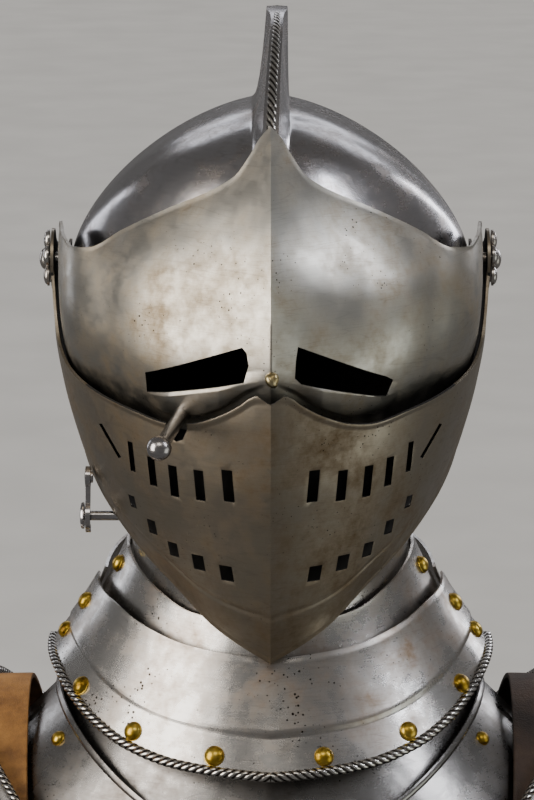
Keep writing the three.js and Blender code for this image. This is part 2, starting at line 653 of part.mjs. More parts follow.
// Cuirass.
const torsoHalf = through(
  [
    { z: -402, half: 134 }, { z: -392, half: 131 }, { z: -300, half: 149 }, { z: -190, half: 160 },
    { z: -120, half: 152 }, { z: -80, half: 140 },
  ],
  "z", "half",
);
const torsoFront = through(
  [
    { z: -402, front: 138 }, { z: -385, front: 134 }, { z: -300, front: 152 }, { z: -200, front: 148 },
    { z: -120, front: 126 }, { z: -80, front: 108 },
  ],
  "z", "front",
);
const torsoBack = through(
  [
    { z: -402, back: 102 }, { z: -385, back: 98 }, { z: -300, back: 106 }, { z: -190, back: 120 },
    { z: -120, back: 112 }, { z: -80, back: 96 },
  ],
  "z", "back",
);
const BREAST_KEEL = 0.14;
function trunk(angle, z, rear, inset = 0) {
  const half = torsoHalf(z) - inset;
  const front = torsoFront(z) - inset;
  const back = torsoBack(z) - inset;
  const spot = rear ? plan(angle, half, back, front, 0.04) : plan(angle, half, front, back, BREAST_KEEL);
  return new THREE.Vector3(spot.left, TORSO_Y - (rear ? -spot.forward : spot.forward), z);
}
const breastTop = through(
  [
    { angle: 0, z: -98 }, { angle: 22, z: -94 }, { angle: 36, z: -86 }, { angle: 50, z: -84 }, { angle: 58, z: -100 },
    { angle: 67, z: -150 }, { angle: 76, z: -184 }, { angle: 96, z: -198 },
  ],
  "angle", "z",
);
const backTop = through(
  [
    { angle: 0, z: -90 }, { angle: 22, z: -86 }, { angle: 36, z: -80 }, { angle: 50, z: -80 }, { angle: 58, z: -98 },
    { angle: 67, z: -148 }, { angle: 76, z: -182 }, { angle: 92, z: -198 },
  ],
  "angle", "z",
);
const trunkColumns = (last) => mirrored([0, 6, 18, 30, 40, 49, 57, 66, 76, 85, last]);
function trunkPlate(name, rear, top, last, inset) {
  piece(name, steelPlate, sheet({
    across: trunkColumns(last),
    down: [0, 0.04, ...steps(5, 0.18, 1)],
    at: (angle, v) => trunk(angle, mix(top(Math.abs(angle)), WAIST_Z, v), rear, inset),
    behind: new THREE.Vector3(0, TORSO_Y, -250),
    wall: THICK_WALL,
    raise: (angle, v) => (Math.abs(angle) < 80 ? bead(v, 0.035, 3) : 0),
  }));
}
trunkPlate("breastplate", false, breastTop, 95, 0);
trunkPlate("backplate", true, backTop, 92, 3.4);

// Fauld and culet: hoops below the waist, each standing outside the one above.
const HIP_HALF = 134;
const HIP_FRONT = 138;
const HIP_BACK = 102;
function hoopPoint(angle, z, out, rear) {
  const spot = rear
    ? plan(angle, HIP_HALF + out, HIP_BACK + out, 110, 0.04)
    : plan(angle, HIP_HALF + out, HIP_FRONT + out, 110, BREAST_KEEL);
  return new THREE.Vector3(spot.left, TORSO_Y - (rear ? -spot.forward : spot.forward), z);
}
function hoop(name, rear, { top, low, grow }) {
  piece(name, steelPlate, sheet({
    across: mirrored([0, 6, ...steps(6, 20, rear ? 86 : 90.5)]),
    down: [0, 0.45, 0.88, 1],
    at: (angle, v) => hoopPoint(angle, mix(top, low, v), mix(grow[0], grow[1], v), rear),
    behind: new THREE.Vector3(0, TORSO_Y, -380),
    wall: THICK_WALL,
    raise: (angle, v) => bead(1 - v, 0.12, 1.6),
  }));
}
hoop("fauld_upper", false, { top: -386, low: -432, grow: [2.6, 18] });
hoop("fauld_lower", false, { top: -424, low: -470, grow: [20.1, 36] });
hoop("culet_upper", true, { top: -388, low: -432, grow: [1.3, 18] });
hoop("culet_lower", true, { top: -424, low: -472, grow: [20.1, 36] });

// Tassets, hinged under the fauld.
const TASSET_TOP = -476;
const TASSET_LOW = -640;
const TASSET_LAMES = 3;
const TASSET_FROM = 4; // plan angles of its two edges
const TASSET_TO = 78;
const TASSET_MIDDLE = 88;
// The outer face of one tasset: across at a plan angle of the fauld, down as a share of its drop.
function tassetPoint(angle, v) {
  const corner = clamp((Math.abs(angle - (TASSET_FROM + TASSET_TO) / 2) / 37 - 0.55) / 0.45) ** 2 * 26;
  const z = mix(TASSET_TOP, TASSET_LOW + corner, v);
  const out = mix(27, 48, v);
  const spot = plan(angle, HIP_HALF + out, HIP_FRONT + out, 110, 0.1);
  return new THREE.Vector3(-mix(spot.left, TASSET_MIDDLE, v * 0.2), TORSO_Y - spot.forward, z);
}
const lameStep = (v, count) => {
  const share = v * count - Math.floor(Math.min(v * count, count - 1e-6));
  return 2.2 * share;
};
const lameRows = (count) =>
  steps(count).slice(0, -1).flatMap((from) => [from, from + 0.985 / count]).concat([1]);
pair("tasset", steelPlate, sheet({
  across: steps(8, TASSET_FROM, TASSET_TO),
  down: lameRows(TASSET_LAMES),
  at: tassetPoint,
  behind: new THREE.Vector3(-TASSET_MIDDLE, TORSO_Y, -560),
  wall: THICK_WALL,
  raise: (angle, v) => lameStep(v, TASSET_LAMES),
}));

// Pauldrons and upper arm lames.
const shoulderInner = through(
  [
    { turn: -104, x: 86 }, { turn: -90, x: 86 }, { turn: -78, x: 92 }, { turn: -60, x: 112 }, { turn: -38, x: 136 },
    { turn: -20, x: 150 }, { turn: 0, x: 153 }, { turn: 40, x: 142 }, { turn: 75, x: 112 }, { turn: 100, x: 100 },
  ],
  "turn", "x",
);
const shoulderReach = through(
  [
    { turn: -104, reach: 146 }, { turn: -75, reach: 143 }, { turn: -40, reach: 120 }, { turn: 0, reach: 110 },
    { turn: 40, reach: 124 }, { turn: 75, reach: 138 }, { turn: 100, reach: 132 },
  ],
  "turn", "reach",
);
const ARM_RING = 61;
const ARM_RING_Z = -152;
// One pauldron: turn runs from the breast (-90) over the shoulder (0) to the back (90), and u from the
// inner edge at the neck to the ring round the upper arm.
function pauldronPoint(turn, u) {
  const rise = Math.cos(rad(turn));
  const inner = new THREE.Vector3(
    shoulderInner(turn), TORSO_Y + shoulderReach(turn) * Math.sin(rad(turn)),
    -122 + 104 * Math.sign(rise) * Math.abs(rise) ** 0.8);
  const open = turn * 1.12;
  const outer = new THREE.Vector3(
    ARM_X + ARM_RING * Math.cos(rad(open)), TORSO_Y + 64 * Math.sin(rad(open)), ARM_RING_Z);
  const across = Math.sin(rad(90 * u));
  const drop = 1 - Math.cos(rad(90 * u));
  return new THREE.Vector3(
    -mix(inner.x, outer.x, across), mix(inner.y, outer.y, across), mix(inner.z, outer.z, drop));
}
pair("pauldron", steelPlate, sheet({
  across: [-104, -92, -78, -64, -50, -36, -22, -7, 8, 23, 38, 53, 68, 84, 100],
  down: [0, 0.05, ...steps(6, 0.18, 1)],
  at: pauldronPoint,
  behind: new THREE.Vector3(-160, TORSO_Y, -150),
  wall: THICK_WALL,
  raise: (turn, u) => bead(u, 0.045, 2.6),
}));
const ARM_LAMES = 3;
pair("arm_lames", steelPlate, sheet({
  across: steps(13, -112, 112),
  down: lameRows(ARM_LAMES),
  at: (turn, v) => {
    const r = mix(55, 51, v);
    return new THREE.Vector3(
      -(ARM_X + r * Math.cos(rad(turn))), TORSO_Y + (r + 2) * Math.sin(rad(turn)), mix(-140, -292, v));
  },
  behind: new THREE.Vector3(-ARM_X, TORSO_Y, -220),
  wall: WALL,
  raise: (turn, v) => lameStep(v, ARM_LAMES),
}));

// Leather straps.
// A strap over each shoulder joins the breastplate to the backplate. It stands clear over the gorget.
const SHOULDER_STRAP = [
  { x: 118, y: -71.8, z: -140, lean: -0.95 }, { x: 119.5, y: -85, z: -116, lean: -0.9 },
  { x: 120, y: -91, z: -102, lean: -0.8 },
  { x: 127, y: -84, z: -74, lean: -0.6 }, { x: 131, y: -62, z: -49, lean: -0.3 },
  { x: 133, y: -32, z: -28, lean: -0.1 }, { x: 134, y: 0, z: -13, lean: 0 },
  { x: 134, y: 30, z: -16, lean: 0.1 }, { x: 131, y: 60, z: -40, lean: 0.3 }, { x: 126, y: 84, z: -74, lean: 0.55 },
  { x: 119, y: 91, z: -106, lean: 0.6 }, { x: 118, y: 87.6, z: -140, lean: 0.85 },
];
pair("shoulder_strap", leather, bar(
  SHOULDER_STRAP.map(({ x, y, z }) => new THREE.Vector3(-x, y, z)),
  SHOULDER_STRAP.map(({ lean }) => new THREE.Vector3(1, lean, 0)),
  STRAP_WIDTH, LEATHER,
));

// A strap down each side closes the cuirass below the arm.
const sideStrap = steps(8, 68, 106).map((angle) => {
  const spot = trunk(angle, -318, false, -(2.8 + LEATHER / 2));
  return new THREE.Vector3(-spot.x, spot.y, -318);
});
pair("side_strap", leather, bar(sideStrap, new THREE.Vector3(0, 0, 1), STRAP_WIDTH, LEATHER));

// Two straps carry each tasset: a strap on the fauld and a tab on the tasset, folding where they meet.
const FOLD_Z = -480;
const SEAM = 0.35;
const strapSpot = (angle, z, out) => {
  const p = hoopPoint(angle, z, out, false);
  return new THREE.Vector3(-p.x, p.y, p.z);
};
const TASSET_STRAPS = [{ name: "inner", angle: 20 }, { name: "outer", angle: 60 }];
TASSET_STRAPS.forEach(({ name, angle }) => {
  const ahead = strapSpot(angle + 3, FOLD_Z, 40).sub(strapSpot(angle - 3, FOLD_Z, 40));
  pair(`fauld_strap_${name}`, leather, bar(
    [[-446, 30.6], [-462, 36], [-470, 39.6], [FOLD_Z + SEAM, 40]].map(([z, out]) => strapSpot(angle, z, out)),
    ahead, STRAP_WIDTH, LEATHER,
  ));
  pair(`tasset_tab_${name}`, leather, bar(
    [[FOLD_Z - SEAM, 40], [-490, 36.9], [-502, 34.6], [-518, 37.8]].map(([z, out]) => strapSpot(angle, z, out)),
    ahead, STRAP_WIDTH, LEATHER,
  ));
});

// A tab under each pauldron hangs it from the shoulder of the gorget.
const PAULDRON_TAB = [{ x: 147, z: -56 }, { x: 154, z: -48.6 }, { x: 163, z: -32 }, { x: 174, z: -25.8 }];
pair("pauldron_tab", leather, bar(
  PAULDRON_TAB.map(({ x, z }) => new THREE.Vector3(-x, TORSO_Y, z)), new THREE.Vector3(0, 1, 0), STRAP_WIDTH, LEATHER));

export default armour;
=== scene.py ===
# %% [markdown]
# # A corselet armour, finished in Blender
# The imported model already has every plate at its real place and size, but with coarse facets. Polished
# steel shows every facet in its reflections, so each plate is laid again here on the same surface with
# a fine grid, and then gets what the armourer added: turned and roped rims, rivets and leather.
# We start by loading the imported model.

# %% Load the imported model
import math
import random

import bpy
from mathutils import Matrix, Vector


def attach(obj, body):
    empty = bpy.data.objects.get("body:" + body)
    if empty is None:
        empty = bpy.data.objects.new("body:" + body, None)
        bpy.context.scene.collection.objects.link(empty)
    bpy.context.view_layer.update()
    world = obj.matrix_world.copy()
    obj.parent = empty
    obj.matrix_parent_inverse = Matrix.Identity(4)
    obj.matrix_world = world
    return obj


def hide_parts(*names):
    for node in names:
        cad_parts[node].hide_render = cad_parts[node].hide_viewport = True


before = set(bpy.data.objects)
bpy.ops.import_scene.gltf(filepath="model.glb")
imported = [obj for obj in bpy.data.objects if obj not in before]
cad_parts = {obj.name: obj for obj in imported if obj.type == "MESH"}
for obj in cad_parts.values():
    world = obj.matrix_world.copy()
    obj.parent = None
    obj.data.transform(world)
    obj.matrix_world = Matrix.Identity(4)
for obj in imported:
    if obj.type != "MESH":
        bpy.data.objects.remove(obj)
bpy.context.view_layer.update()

MM = 0.001
random.seed(11)

# %% [markdown]
# ## Small maths first
# A plate's edge or outline is a short table of sizes, and the metal runs smoothly through its rows. The
# curve below never overshoots a row, which a plain spline would do and which shows as a ripple in a
# mirror-like surface.

# %% Curves through short tables


def rad(degrees):
    return math.radians(degrees)


def mix(a, b, t):
    return a + (b - a) * t


def clamp(t):
    return min(1.0, max(0.0, t))


def through(*rows):
    """A smooth curve through (place, value) rows, level at every peak."""
    xs = [row[0] for row in rows]
    ys = [row[1] for row in rows]
    slopes = [(ys[i + 1] - ys[i]) / (xs[i + 1] - xs[i]) for i in range(len(xs) - 1)]
    tangents = [slopes[0]]
    for before, after in zip(slopes, slopes[1:]):
        tangents.append(0 if before * after <= 0 else 2 * before * after / (before + after))
    tangents.append(slopes[-1])

    def curve(x):
        if x <= xs[0]:
            return ys[0]
        if x >= xs[-1]:
            return ys[-1]
        i = next(k for k in range(len(xs)) if x <= xs[k + 1])
        span = xs[i + 1] - xs[i]
        t = (x - xs[i]) / span
        start = (2 * t**3 - 3 * t**2 + 1) * ys[i] + (t**3 - 2 * t**2 + t) * span * tangents[i]
        end = (3 * t**2 - 2 * t**3) * ys[i + 1] + (t**3 - t**2) * span * tangents[i + 1]
        return start + end

    return curve


def steps(count, first=0.0, last=1.0):
    return [mix(first, last, i / count) for i in range(count + 1)]


def mirrored(values):
    return [-v for v in reversed(values[1:])] + list(values)


def finer(values, times):
    """The same rows with times - 1 more between each pair."""
    rows = [mix(a, b, k / times) for a, b in zip(values, values[1:]) for k in range(times)]
    return rows + [values[-1]]


def bead(distance, band, height):
    return height * math.sqrt(max(0.0, 1 - (distance / band) ** 2))


# %% [markdown]
# ## The places on the armour
# The helmet's plates all turn about one line through the two pivots, so the helmet is measured from the
# middle of that line. A plan outline runs round the head at an angle from straight ahead, and comes to a
# keel in front where keel is more than 0.

# %% Places, in millimetres
PIVOT_UP = 205
TORSO_Y = 15
WALL = 1.4
THICK_WALL = 2.0
SIDES = (("right", -1), ("left", 1))


def head(left, forward, up):
    return Vector((left, -forward, PIVOT_UP + up))


def head_polar(left, angle, radius):
    return head(left, radius * math.cos(rad(angle)), radius * math.sin(rad(angle)))


def plan(angle, half, front, back, keel):
    s = abs(math.sin(rad(angle)))
    if abs(angle) <= 90:
        forward = front * math.sqrt(max(0.0, 1 - keel * s - (1 - keel) * s * s))
    else:
        forward = -back * abs(math.cos(rad(angle)))
    return half * math.sin(rad(angle)), forward


# %% [markdown]
# ## Finishes
# The metal here is polished steel, black forge scale or brass; where the black scale lies on the bevor's
# face behind the ventail it is painted shade. Each is a node tree, and one function adds a node with its
# settings and its links, so a tree can be read from top to bottom. Colours are written as sRGB hex, as a
# paint chart gives them, and turned to the linear values that the shader wants.

# %% Node and colour helpers


def linear(hex_code):
    channels = [int(hex_code[i:i + 2], 16) / 255 for i in (1, 3, 5)]
    return [c / 12.92 if c <= 0.04045 else ((c + 0.055) / 1.055) ** 2.4 for c in channels] + [1.0]


def add_node(material, kind, links=(), **settings):
    """One node: links is a list of (input, source node, source output), settings are inputs or fields."""
    tree = material.node_tree
    node = tree.nodes.new(kind)
    for name, value in settings.items():
        if hasattr(node, name):
            setattr(node, name, value)
    for name, value in settings.items():
        if not hasattr(node, name):
            node.inputs[name.replace("_", " ")].default_value = value
    for target, source, output in links:
        tree.links.new(source.outputs[output], node.inputs[target])
    return node


def set_ramp(node, *stops):
    elements = node.color_ramp.elements
    while len(elements) < len(stops):
        elements.new(0.5)
    for element, (place, colour) in zip(elements, stops):
        element.position = place
        element.color = linear(colour) if isinstance(colour, str) else (colour, colour, colour, 1)


def new_finish(name):
    material = bpy.data.materials.new(name)
    material.use_nodes = True
    return material, material.node_tree.nodes["Principled BSDF"]


def per_mm(size):
    """A texture's scale for features of this size in millimetres: Object coordinates are metres."""
    return 1000.0 / size


# %% [markdown]
# ## Steel
# Old plate armour is medium carbon steel, hammered, ground and polished bright. Steel has no colour of
# its own beyond a warm grey, so what the eye reads is in the reflections: the plate's surface wanders
# slightly from the hammer, fine grinding scratches run across it and spread the highlights, brown oxide
# sits in broad clouds and dark pits gather in patches where rust was once cleaned off.

# %% Polished steel


def polished_steel(name, bright, brown, clouds, pitting, smooth, rope=False):
    steel, shader = new_finish(name)
    where = add_node(steel, "ShaderNodeTexCoord")
    # Clouds of brown patina, about 90 mm across, broken up by a second noise of about 14 mm.
    broad = add_node(steel, "ShaderNodeTexNoise", [("Vector", where, "Object")],
                     Scale=per_mm(90), Detail=5.0, Roughness=0.62, Distortion=0.6)
    mottle = add_node(steel, "ShaderNodeTexNoise", [("Vector", where, "Object")],
                      Scale=per_mm(14), Detail=6.0, Roughness=0.7)
    both = add_node(steel, "ShaderNodeMath", [(0, broad, "Fac"), (1, mottle, "Fac")], operation="MULTIPLY")
    cloud = add_node(steel, "ShaderNodeValToRGB", [("Fac", both, "Value")])
    set_ramp(cloud, (clouds - 0.06, 0.0), (clouds + 0.2, 1.0))
    colour = add_node(steel, "ShaderNodeMix", [("Factor", cloud, "Color")], data_type="RGBA")
    colour.inputs["A"].default_value = linear(bright)
    colour.inputs["B"].default_value = linear(brown)
    # Pits are specks of up to about 1.5 mm. A broad mask keeps them in patches.
    speck = add_node(steel, "ShaderNodeTexVoronoi", [("Vector", where, "Object")], Scale=per_mm(2.6))
    patch = add_node(steel, "ShaderNodeTexNoise", [("Vector", where, "Object")], Scale=per_mm(26), Detail=4.0)
    reach = add_node(steel, "ShaderNodeMapRange", [("Value", patch, "Fac")],
                     From_Min=0.46, From_Max=0.8, To_Min=0.02, To_Max=pitting)
    pit = add_node(steel, "ShaderNodeMath", [(0, speck, "Distance"), (1, reach, "Result")],
                   operation="LESS_THAN")
    pitted = add_node(steel, "ShaderNodeMix", [("Factor", pit, "Value"), ("A", colour, "Result")],
                      data_type="RGBA")
    pitted.inputs["B"].default_value = linear("#2e2721")
    # Scratches about 40 mm long, where the edges of a cell pattern are pulled out to lines.
    pulled = add_node(steel, "ShaderNodeMapping", [("Vector", where, "Object")])
    pulled.inputs["Rotation"].default_value = (0.5, 0.9, 0.4)
    pulled.inputs["Scale"].default_value = (per_mm(40), per_mm(40), per_mm(2.2))
    lines = add_node(steel, "ShaderNodeTexVoronoi", [("Vector", pulled, "Vector")], Scale=1.0,
                     feature="DISTANCE_TO_EDGE")
    line = add_node(steel, "ShaderNodeMapRange", [("Value", lines, "Distance")],
                    From_Min=0.0, From_Max=0.035, To_Min=0.35, To_Max=0.0)
    scratch = add_node(steel, "ShaderNodeMath", [(0, line, "Result"), (1, mottle, "Fac")],
                       operation="MULTIPLY")
    tint = add_node(steel, "ShaderNodeMix", [("Factor", scratch, "Value"), ("A", pitted, "Result")],
                    data_type="RGBA")
    tint.inputs["B"].default_value = linear("#3a332c")
    if rope:
        # The nicks of a roped edge hold old dirt and polish, so they stay dark brown.
        nick = add_node(steel, "ShaderNodeAttribute", attribute_name="ridge")
        worn = add_node(steel, "ShaderNodeValToRGB", [("Fac", nick, "Fac")])
        set_ramp(worn, (0.35, 0.0), (0.8, 1.0))
        filed = add_node(steel, "ShaderNodeMix", [("Factor", worn, "Color"), ("B", tint, "Result")],
                         data_type="RGBA")
        filed.inputs["A"].default_value = linear("#2b1f15")
        tint = filed
    # Grinding marks: noise stretched to about 9 by 0.5 mm, coarser than real ones so that it can show. It
    # stays weak, because stronger marks came out as dark flecks at the edge of a highlight.
    drawn = add_node(steel, "ShaderNodeMapping", [("Vector", where, "Object")])
    drawn.inputs["Scale"].default_value = (per_mm(9), per_mm(9), per_mm(0.5))
    marks = add_node(steel, "ShaderNodeTexNoise", [("Vector", drawn, "Vector")], Scale=1.0, Detail=4.0)
    rough = add_node(steel, "ShaderNodeMapRange", [("Value", marks, "Fac")],
                     From_Min=0.3, From_Max=0.75, To_Min=smooth + 0.02, To_Max=smooth + 0.05)
    dull = add_node(steel, "ShaderNodeMath", [(0, cloud, "Color"), (1, rough, "Result")],
                    operation="MULTIPLY_ADD")
    dull.inputs[1].default_value = 0.2
    steel.node_tree.links.new(rough.outputs["Result"], dull.inputs[2])
    # The hammer leaves soft dents of about 24 mm, far lower than they are wide.
    dents = add_node(steel, "ShaderNodeTexNoise", [("Vector", where, "Object")], Scale=per_mm(24), Detail=2.0)
    dented = add_node(steel, "ShaderNodeBump", [("Height", dents, "Fac")], Strength=0.24, Distance=0.002)
    sunk = add_node(steel, "ShaderNodeBump", [("Height", pit, "Value"), ("Normal", dented, "Normal")],
                    Strength=0.4, Distance=0.0003, invert=True)
    links = steel.node_tree.links
    links.new(tint.outputs["Result"], shader.inputs["Base Color"])
    links.new(dull.outputs["Value"], shader.inputs["Roughness"])
    links.new(sunk.outputs["Normal"], shader.inputs["Normal"])
    shader.inputs["Metallic"].default_value = 1.0
    return steel


skull_steel = polished_steel("skull_steel_burnished", "#bcbabb", "#8d7b6a", 0.28, 0.16, 0.17)
visor_steel = polished_steel("visor_steel_ground", "#b9b6ad", "#96876f", 0.24, 0.26, 0.26)
# The ventail's steel is darker and browner than the rest: the brown is its patina, the extra darkness is
# painted shade.
ventail_steel_brown_and_painted_shade = polished_steel("ventail_steel_browned_painted_shade", "#a39a8a", "#75634a", 0.24, 0.24, 0.29)
lame_steel = polished_steel("lame_steel_pitted", "#c6c4c0", "#927c66", 0.25, 0.36, 0.20)
# The body plates' steel is a darker grey than the other steels: the darkening is painted shade.
plate_steel_painted_shade = polished_steel("body_plate_steel_polished_painted_shade", "#979592", "#6b5f54", 0.26, 0.24, 0.22)
rope_steel = polished_steel("roped_edge_steel_filed", "#cfccc6", "#a08d78", 0.3, 0.1, 0.2, rope=True)
print("steel finishes:", [m.name for m in bpy.data.materials if "steel" in m.name])


def forge_scale_and_painted_shade():
    """Steel left as it came from the fire on the faces that are hidden at rest: a matt, dark scale. On the
    bevor's outer face behind the ventail the same black is painted shade.
    """
    scale, shader = new_finish("hidden_steel_forge_black_and_painted_shade")
    where = add_node(scale, "ShaderNodeTexCoord")
    grain = add_node(scale, "ShaderNodeTexNoise", [("Vector", where, "Object")], Scale=per_mm(3), Detail=6.0)
    colour = add_node(scale, "ShaderNodeValToRGB", [("Fac", grain, "Fac")])
    set_ramp(colour, (0.35, "#0d0c0c"), (0.7, "#1c1917"))
    bump = add_node(scale, "ShaderNodeBump", [("Height", grain, "Fac")], Strength=0.4, Distance=0.0003)
    scale.node_tree.links.new(colour.outputs["Color"], shader.inputs["Base Color"])
    scale.node_tree.links.new(bump.outputs["Normal"], shader.inputs["Normal"])
    shader.inputs["Roughness"].default_value = 0.75
    return scale


forge_black_and_painted_shade = forge_scale_and_painted_shade()


def blacken(piece, hidden):
    """Gives the dark finish to the faces whose middle, in millimetres, is hidden: forge scale, and painted
    shade where the face is only in shadow.
    """
    piece.data.materials.append(forge_black_and_painted_shade)
    for face in piece.data.polygons:
        if hidden(face.center / MM, face.normal):
            face.material_index = 1

# %% [markdown]
# ## Brass and leather
# The rivet caps are cast brass, 70 parts copper to 30 of zinc: yellow, softer than steel and polished by
# every cleaning, with brown tarnish left where the cloth does not reach. The straps are vegetable-tanned
# cowhide, which is matt and warm, with a grain of small cells and darker, burnished patches.

# %% Brass


def polished_brass(name, dark, middle, light):
    brass, shader = new_finish(name)
    where = add_node(brass, "ShaderNodeTexCoord")
    tarnish = add_node(brass, "ShaderNodeTexNoise", [("Vector", where, "Object")],
                       Scale=per_mm(5), Detail=5.0)
    colour = add_node(brass, "ShaderNodeValToRGB", [("Fac", tarnish, "Fac")])
    set_ramp(colour, (0.32, dark), (0.47, middle), (0.7, light))
    rough = add_node(brass, "ShaderNodeMapRange", [("Value", tarnish, "Fac")], To_Min=0.42, To_Max=0.24)
    bump = add_node(brass, "ShaderNodeBump", [("Height", tarnish, "Fac")], Strength=0.15, Distance=0.0004)
    links = brass.node_tree.links
    links.new(colour.outputs["Color"], shader.inputs["Base Color"])
    links.new(rough.outputs["Result"], shader.inputs["Roughness"])
    links.new(bump.outputs["Normal"], shader.inputs["Normal"])
    shader.inputs["Metallic"].default_value = 1.0
    return brass


# %% Leather


def tanned_leather(name, dark, middle, light):
    leather, shader = new_finish(name)
    where = add_node(leather, "ShaderNodeTexCoord")
    cells = add_node(leather, "ShaderNodeTexVoronoi", [("Vector", where, "Object")], Scale=per_mm(0.9))
    patches = add_node(leather, "ShaderNodeTexNoise", [("Vector", where, "Object")], Scale=per_mm(22),
                       Detail=6.0, Roughness=0.65)
    colour = add_node(leather, "ShaderNodeValToRGB", [("Fac", patches, "Fac")])
    set_ramp(colour, (0.3, dark), (0.5, middle), (0.72, light))
    creases = add_node(leather, "ShaderNodeTexNoise", [("Vector", where, "Object")],
                       Scale=per_mm(4), Detail=8.0)
    height = add_node(leather, "ShaderNodeMath", [(0, cells, "Distance"), (1, creases, "Fac")],
                      operation="ADD")
    bump = add_node(leather, "ShaderNodeBump", [("Height", height, "Value")], Strength=0.35, Distance=0.0006)
    links = leather.node_tree.links
    links.new(colour.outputs["Color"], shader.inputs["Base Color"])
    links.new(bump.outputs["Normal"], shader.inputs["Normal"])
    shader.inputs["Roughness"].default_value = 0.58
    shader.inputs["IOR"].default_value = 1.5
    return leather


rivet_brass = polished_brass("rivet_brass_cast_polished", "#5f4517", "#b3922f", "#d9bd58")
worn_brass = polished_brass("nub_brass_rubbed_pale", "#6b5a3a", "#a8976b", "#d2c79f")
strap_leather = tanned_leather("strap_leather_tanned", "#4a2d14", "#80582b", "#a5763d")
oiled_leather = tanned_leather("strap_leather_oiled_dark", "#17110d", "#2b2019", "#3d2e23")
print("brass and leather ready")

# %% [markdown]
# ## Laying a plate
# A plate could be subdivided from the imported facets, but that rounds off keels and pinches the metal
# round every piercing. It is cleaner to add a grid primitive, move its points to the plate's own
# surface and let a Solidify modifier give it the thickness of the sheet. The turned rims and steps are
# lifted along the surface's normals before that.

# %% Helpers for one piece


def deselect():
    if bpy.context.object and bpy.context.object.mode != "OBJECT":
        bpy.ops.object.mode_set(mode="OBJECT")
    bpy.ops.object.select_all(action="DESELECT")


def only(piece):
    deselect()
    piece.select_set(True)
    bpy.context.view_layer.objects.active = piece
    return piece


def apply_modifier(piece, kind, **settings):
    only(piece)
    modifier = piece.modifiers.new(kind.title(), kind)
    for key, value in settings.items():
        setattr(modifier, key, value)
    bpy.ops.object.modifier_apply(modifier=modifier.name)


def settle(piece):
    """Puts the piece's place, turn and scale into its mesh."""
    only(piece)
    bpy.ops.object.transform_apply(location=True, rotation=True, scale=True)
    return piece


def linked(name, data):
    """A new object for this mesh, light or camera, put in the scene."""
    thing = bpy.data.objects.new(name, data)
    bpy.context.scene.collection.objects.link(thing)
    return thing


def edit_all(piece, *actions):
    """Runs (operator, settings) pairs on the whole mesh in edit mode."""
    only(piece)
    bpy.ops.object.mode_set(mode="EDIT")
    bpy.ops.mesh.select_all(action="SELECT")
    for operator, settings in actions:
        operator(**settings)
    bpy.ops.object.mode_set(mode="OBJECT")


MERGE = (bpy.ops.mesh.remove_doubles, {"threshold": 1e-6})


def faces_out(piece):
    edit_all(piece, MERGE, (bpy.ops.mesh.normals_make_consistent, {"inside": False}))


def finish_piece(piece, material, body, nodes=(), angle=32):
    piece.data.materials.clear()
    piece.data.materials.append(material)
    only(piece)
    bpy.ops.object.shade_smooth_by_angle(angle=rad(angle))
    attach(piece, body)
    if nodes:
        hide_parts(*nodes)
    return piece


def lay_plate(name, across, down, at, behind, wall=WALL, lift=None):
    """A grid laid on the surface at(u, v), lifted by lift(u, v), and then given its wall."""
    deselect()
    bpy.ops.mesh.primitive_grid_add(x_subdivisions=len(across) - 1, y_subdivisions=len(down) - 1, size=1)
    plate = bpy.context.object
    plate.name = plate.data.name = name
    mesh = plate.data
    points = [at(u, v) * MM for v in down for u in across]
    mesh.vertices.foreach_set("co", [c for p in points for c in p])
    mesh.update()
    middle = Vector(behind) * MM
    facing = sum((p.center - middle).dot(p.normal) for p in mesh.polygons)
    if facing < 0:
        mesh.flip_normals()
        mesh.update()
    if lift:
        normals = [v.normal.copy() for v in mesh.vertices]
        rise = [lift(u, v) * MM for v in down for u in across]
        for vertex, normal, height in zip(mesh.vertices, normals, rise):
            vertex.co += normal * height
        mesh.update()
    apply_modifier(plate, "SOLIDIFY", thickness=wall * MM, offset=-1, use_even_offset=True)
    print(name, len(plate.data.vertices), "points")
    return plate


# %% [markdown]
# ## Piercing a plate
# Sights and breaths are cut straight through from the front. Each cutter is a small block made from its
# outline, and one Boolean modifier takes them all at once, which keeps the edges of the holes crisp.

# %% Cutters


def block(outline, y_near, y_far):
    """A block with the outline [x, up] seen from the front, between two depths."""
    lower = [Vector((x, y_near, PIVOT_UP + up)) * MM for x, up in outline]
    upper = [Vector((x, y_far, PIVOT_UP + up)) * MM for x, up in outline]
    n = len(outline)
    faces = [list(range(n)), list(reversed(range(n, 2 * n)))]
    faces += [[i, i + n, (i + 1) % n + n, (i + 1) % n] for i in range(n)]
    mesh = bpy.data.meshes.new("cutter")
    mesh.from_pydata(lower + upper, [], faces)
    cutter = linked("cutter", mesh)
    faces_out(cutter)
    return cutter


def joined(pieces, name):
    deselect()
    for piece in pieces:
        piece.select_set(True)
    bpy.context.view_layer.objects.active = pieces[0]
    if len(pieces) > 1:
        bpy.ops.object.join()
    pieces[0].name = pieces[0].data.name = name
    return pieces[0]


def cut_with(plate, other, folds=False):
    """folds says that the plate's inner wall may fold through itself behind a sharp step."""
    apply_modifier(plate, "BOOLEAN", object=other, operation="DIFFERENCE", solver="EXACT", use_self=folds)
    bpy.data.objects.remove(other)


def wear_edges(plate, width=0.35):
    """Breaks the sharp edges of a plate and of its holes, as years of cleaning do."""
    apply_modifier(plate, "BEVEL", width=width * MM, segments=2, limit_method="ANGLE", angle_limit=rad(55),
                   use_clamp_overlap=True)


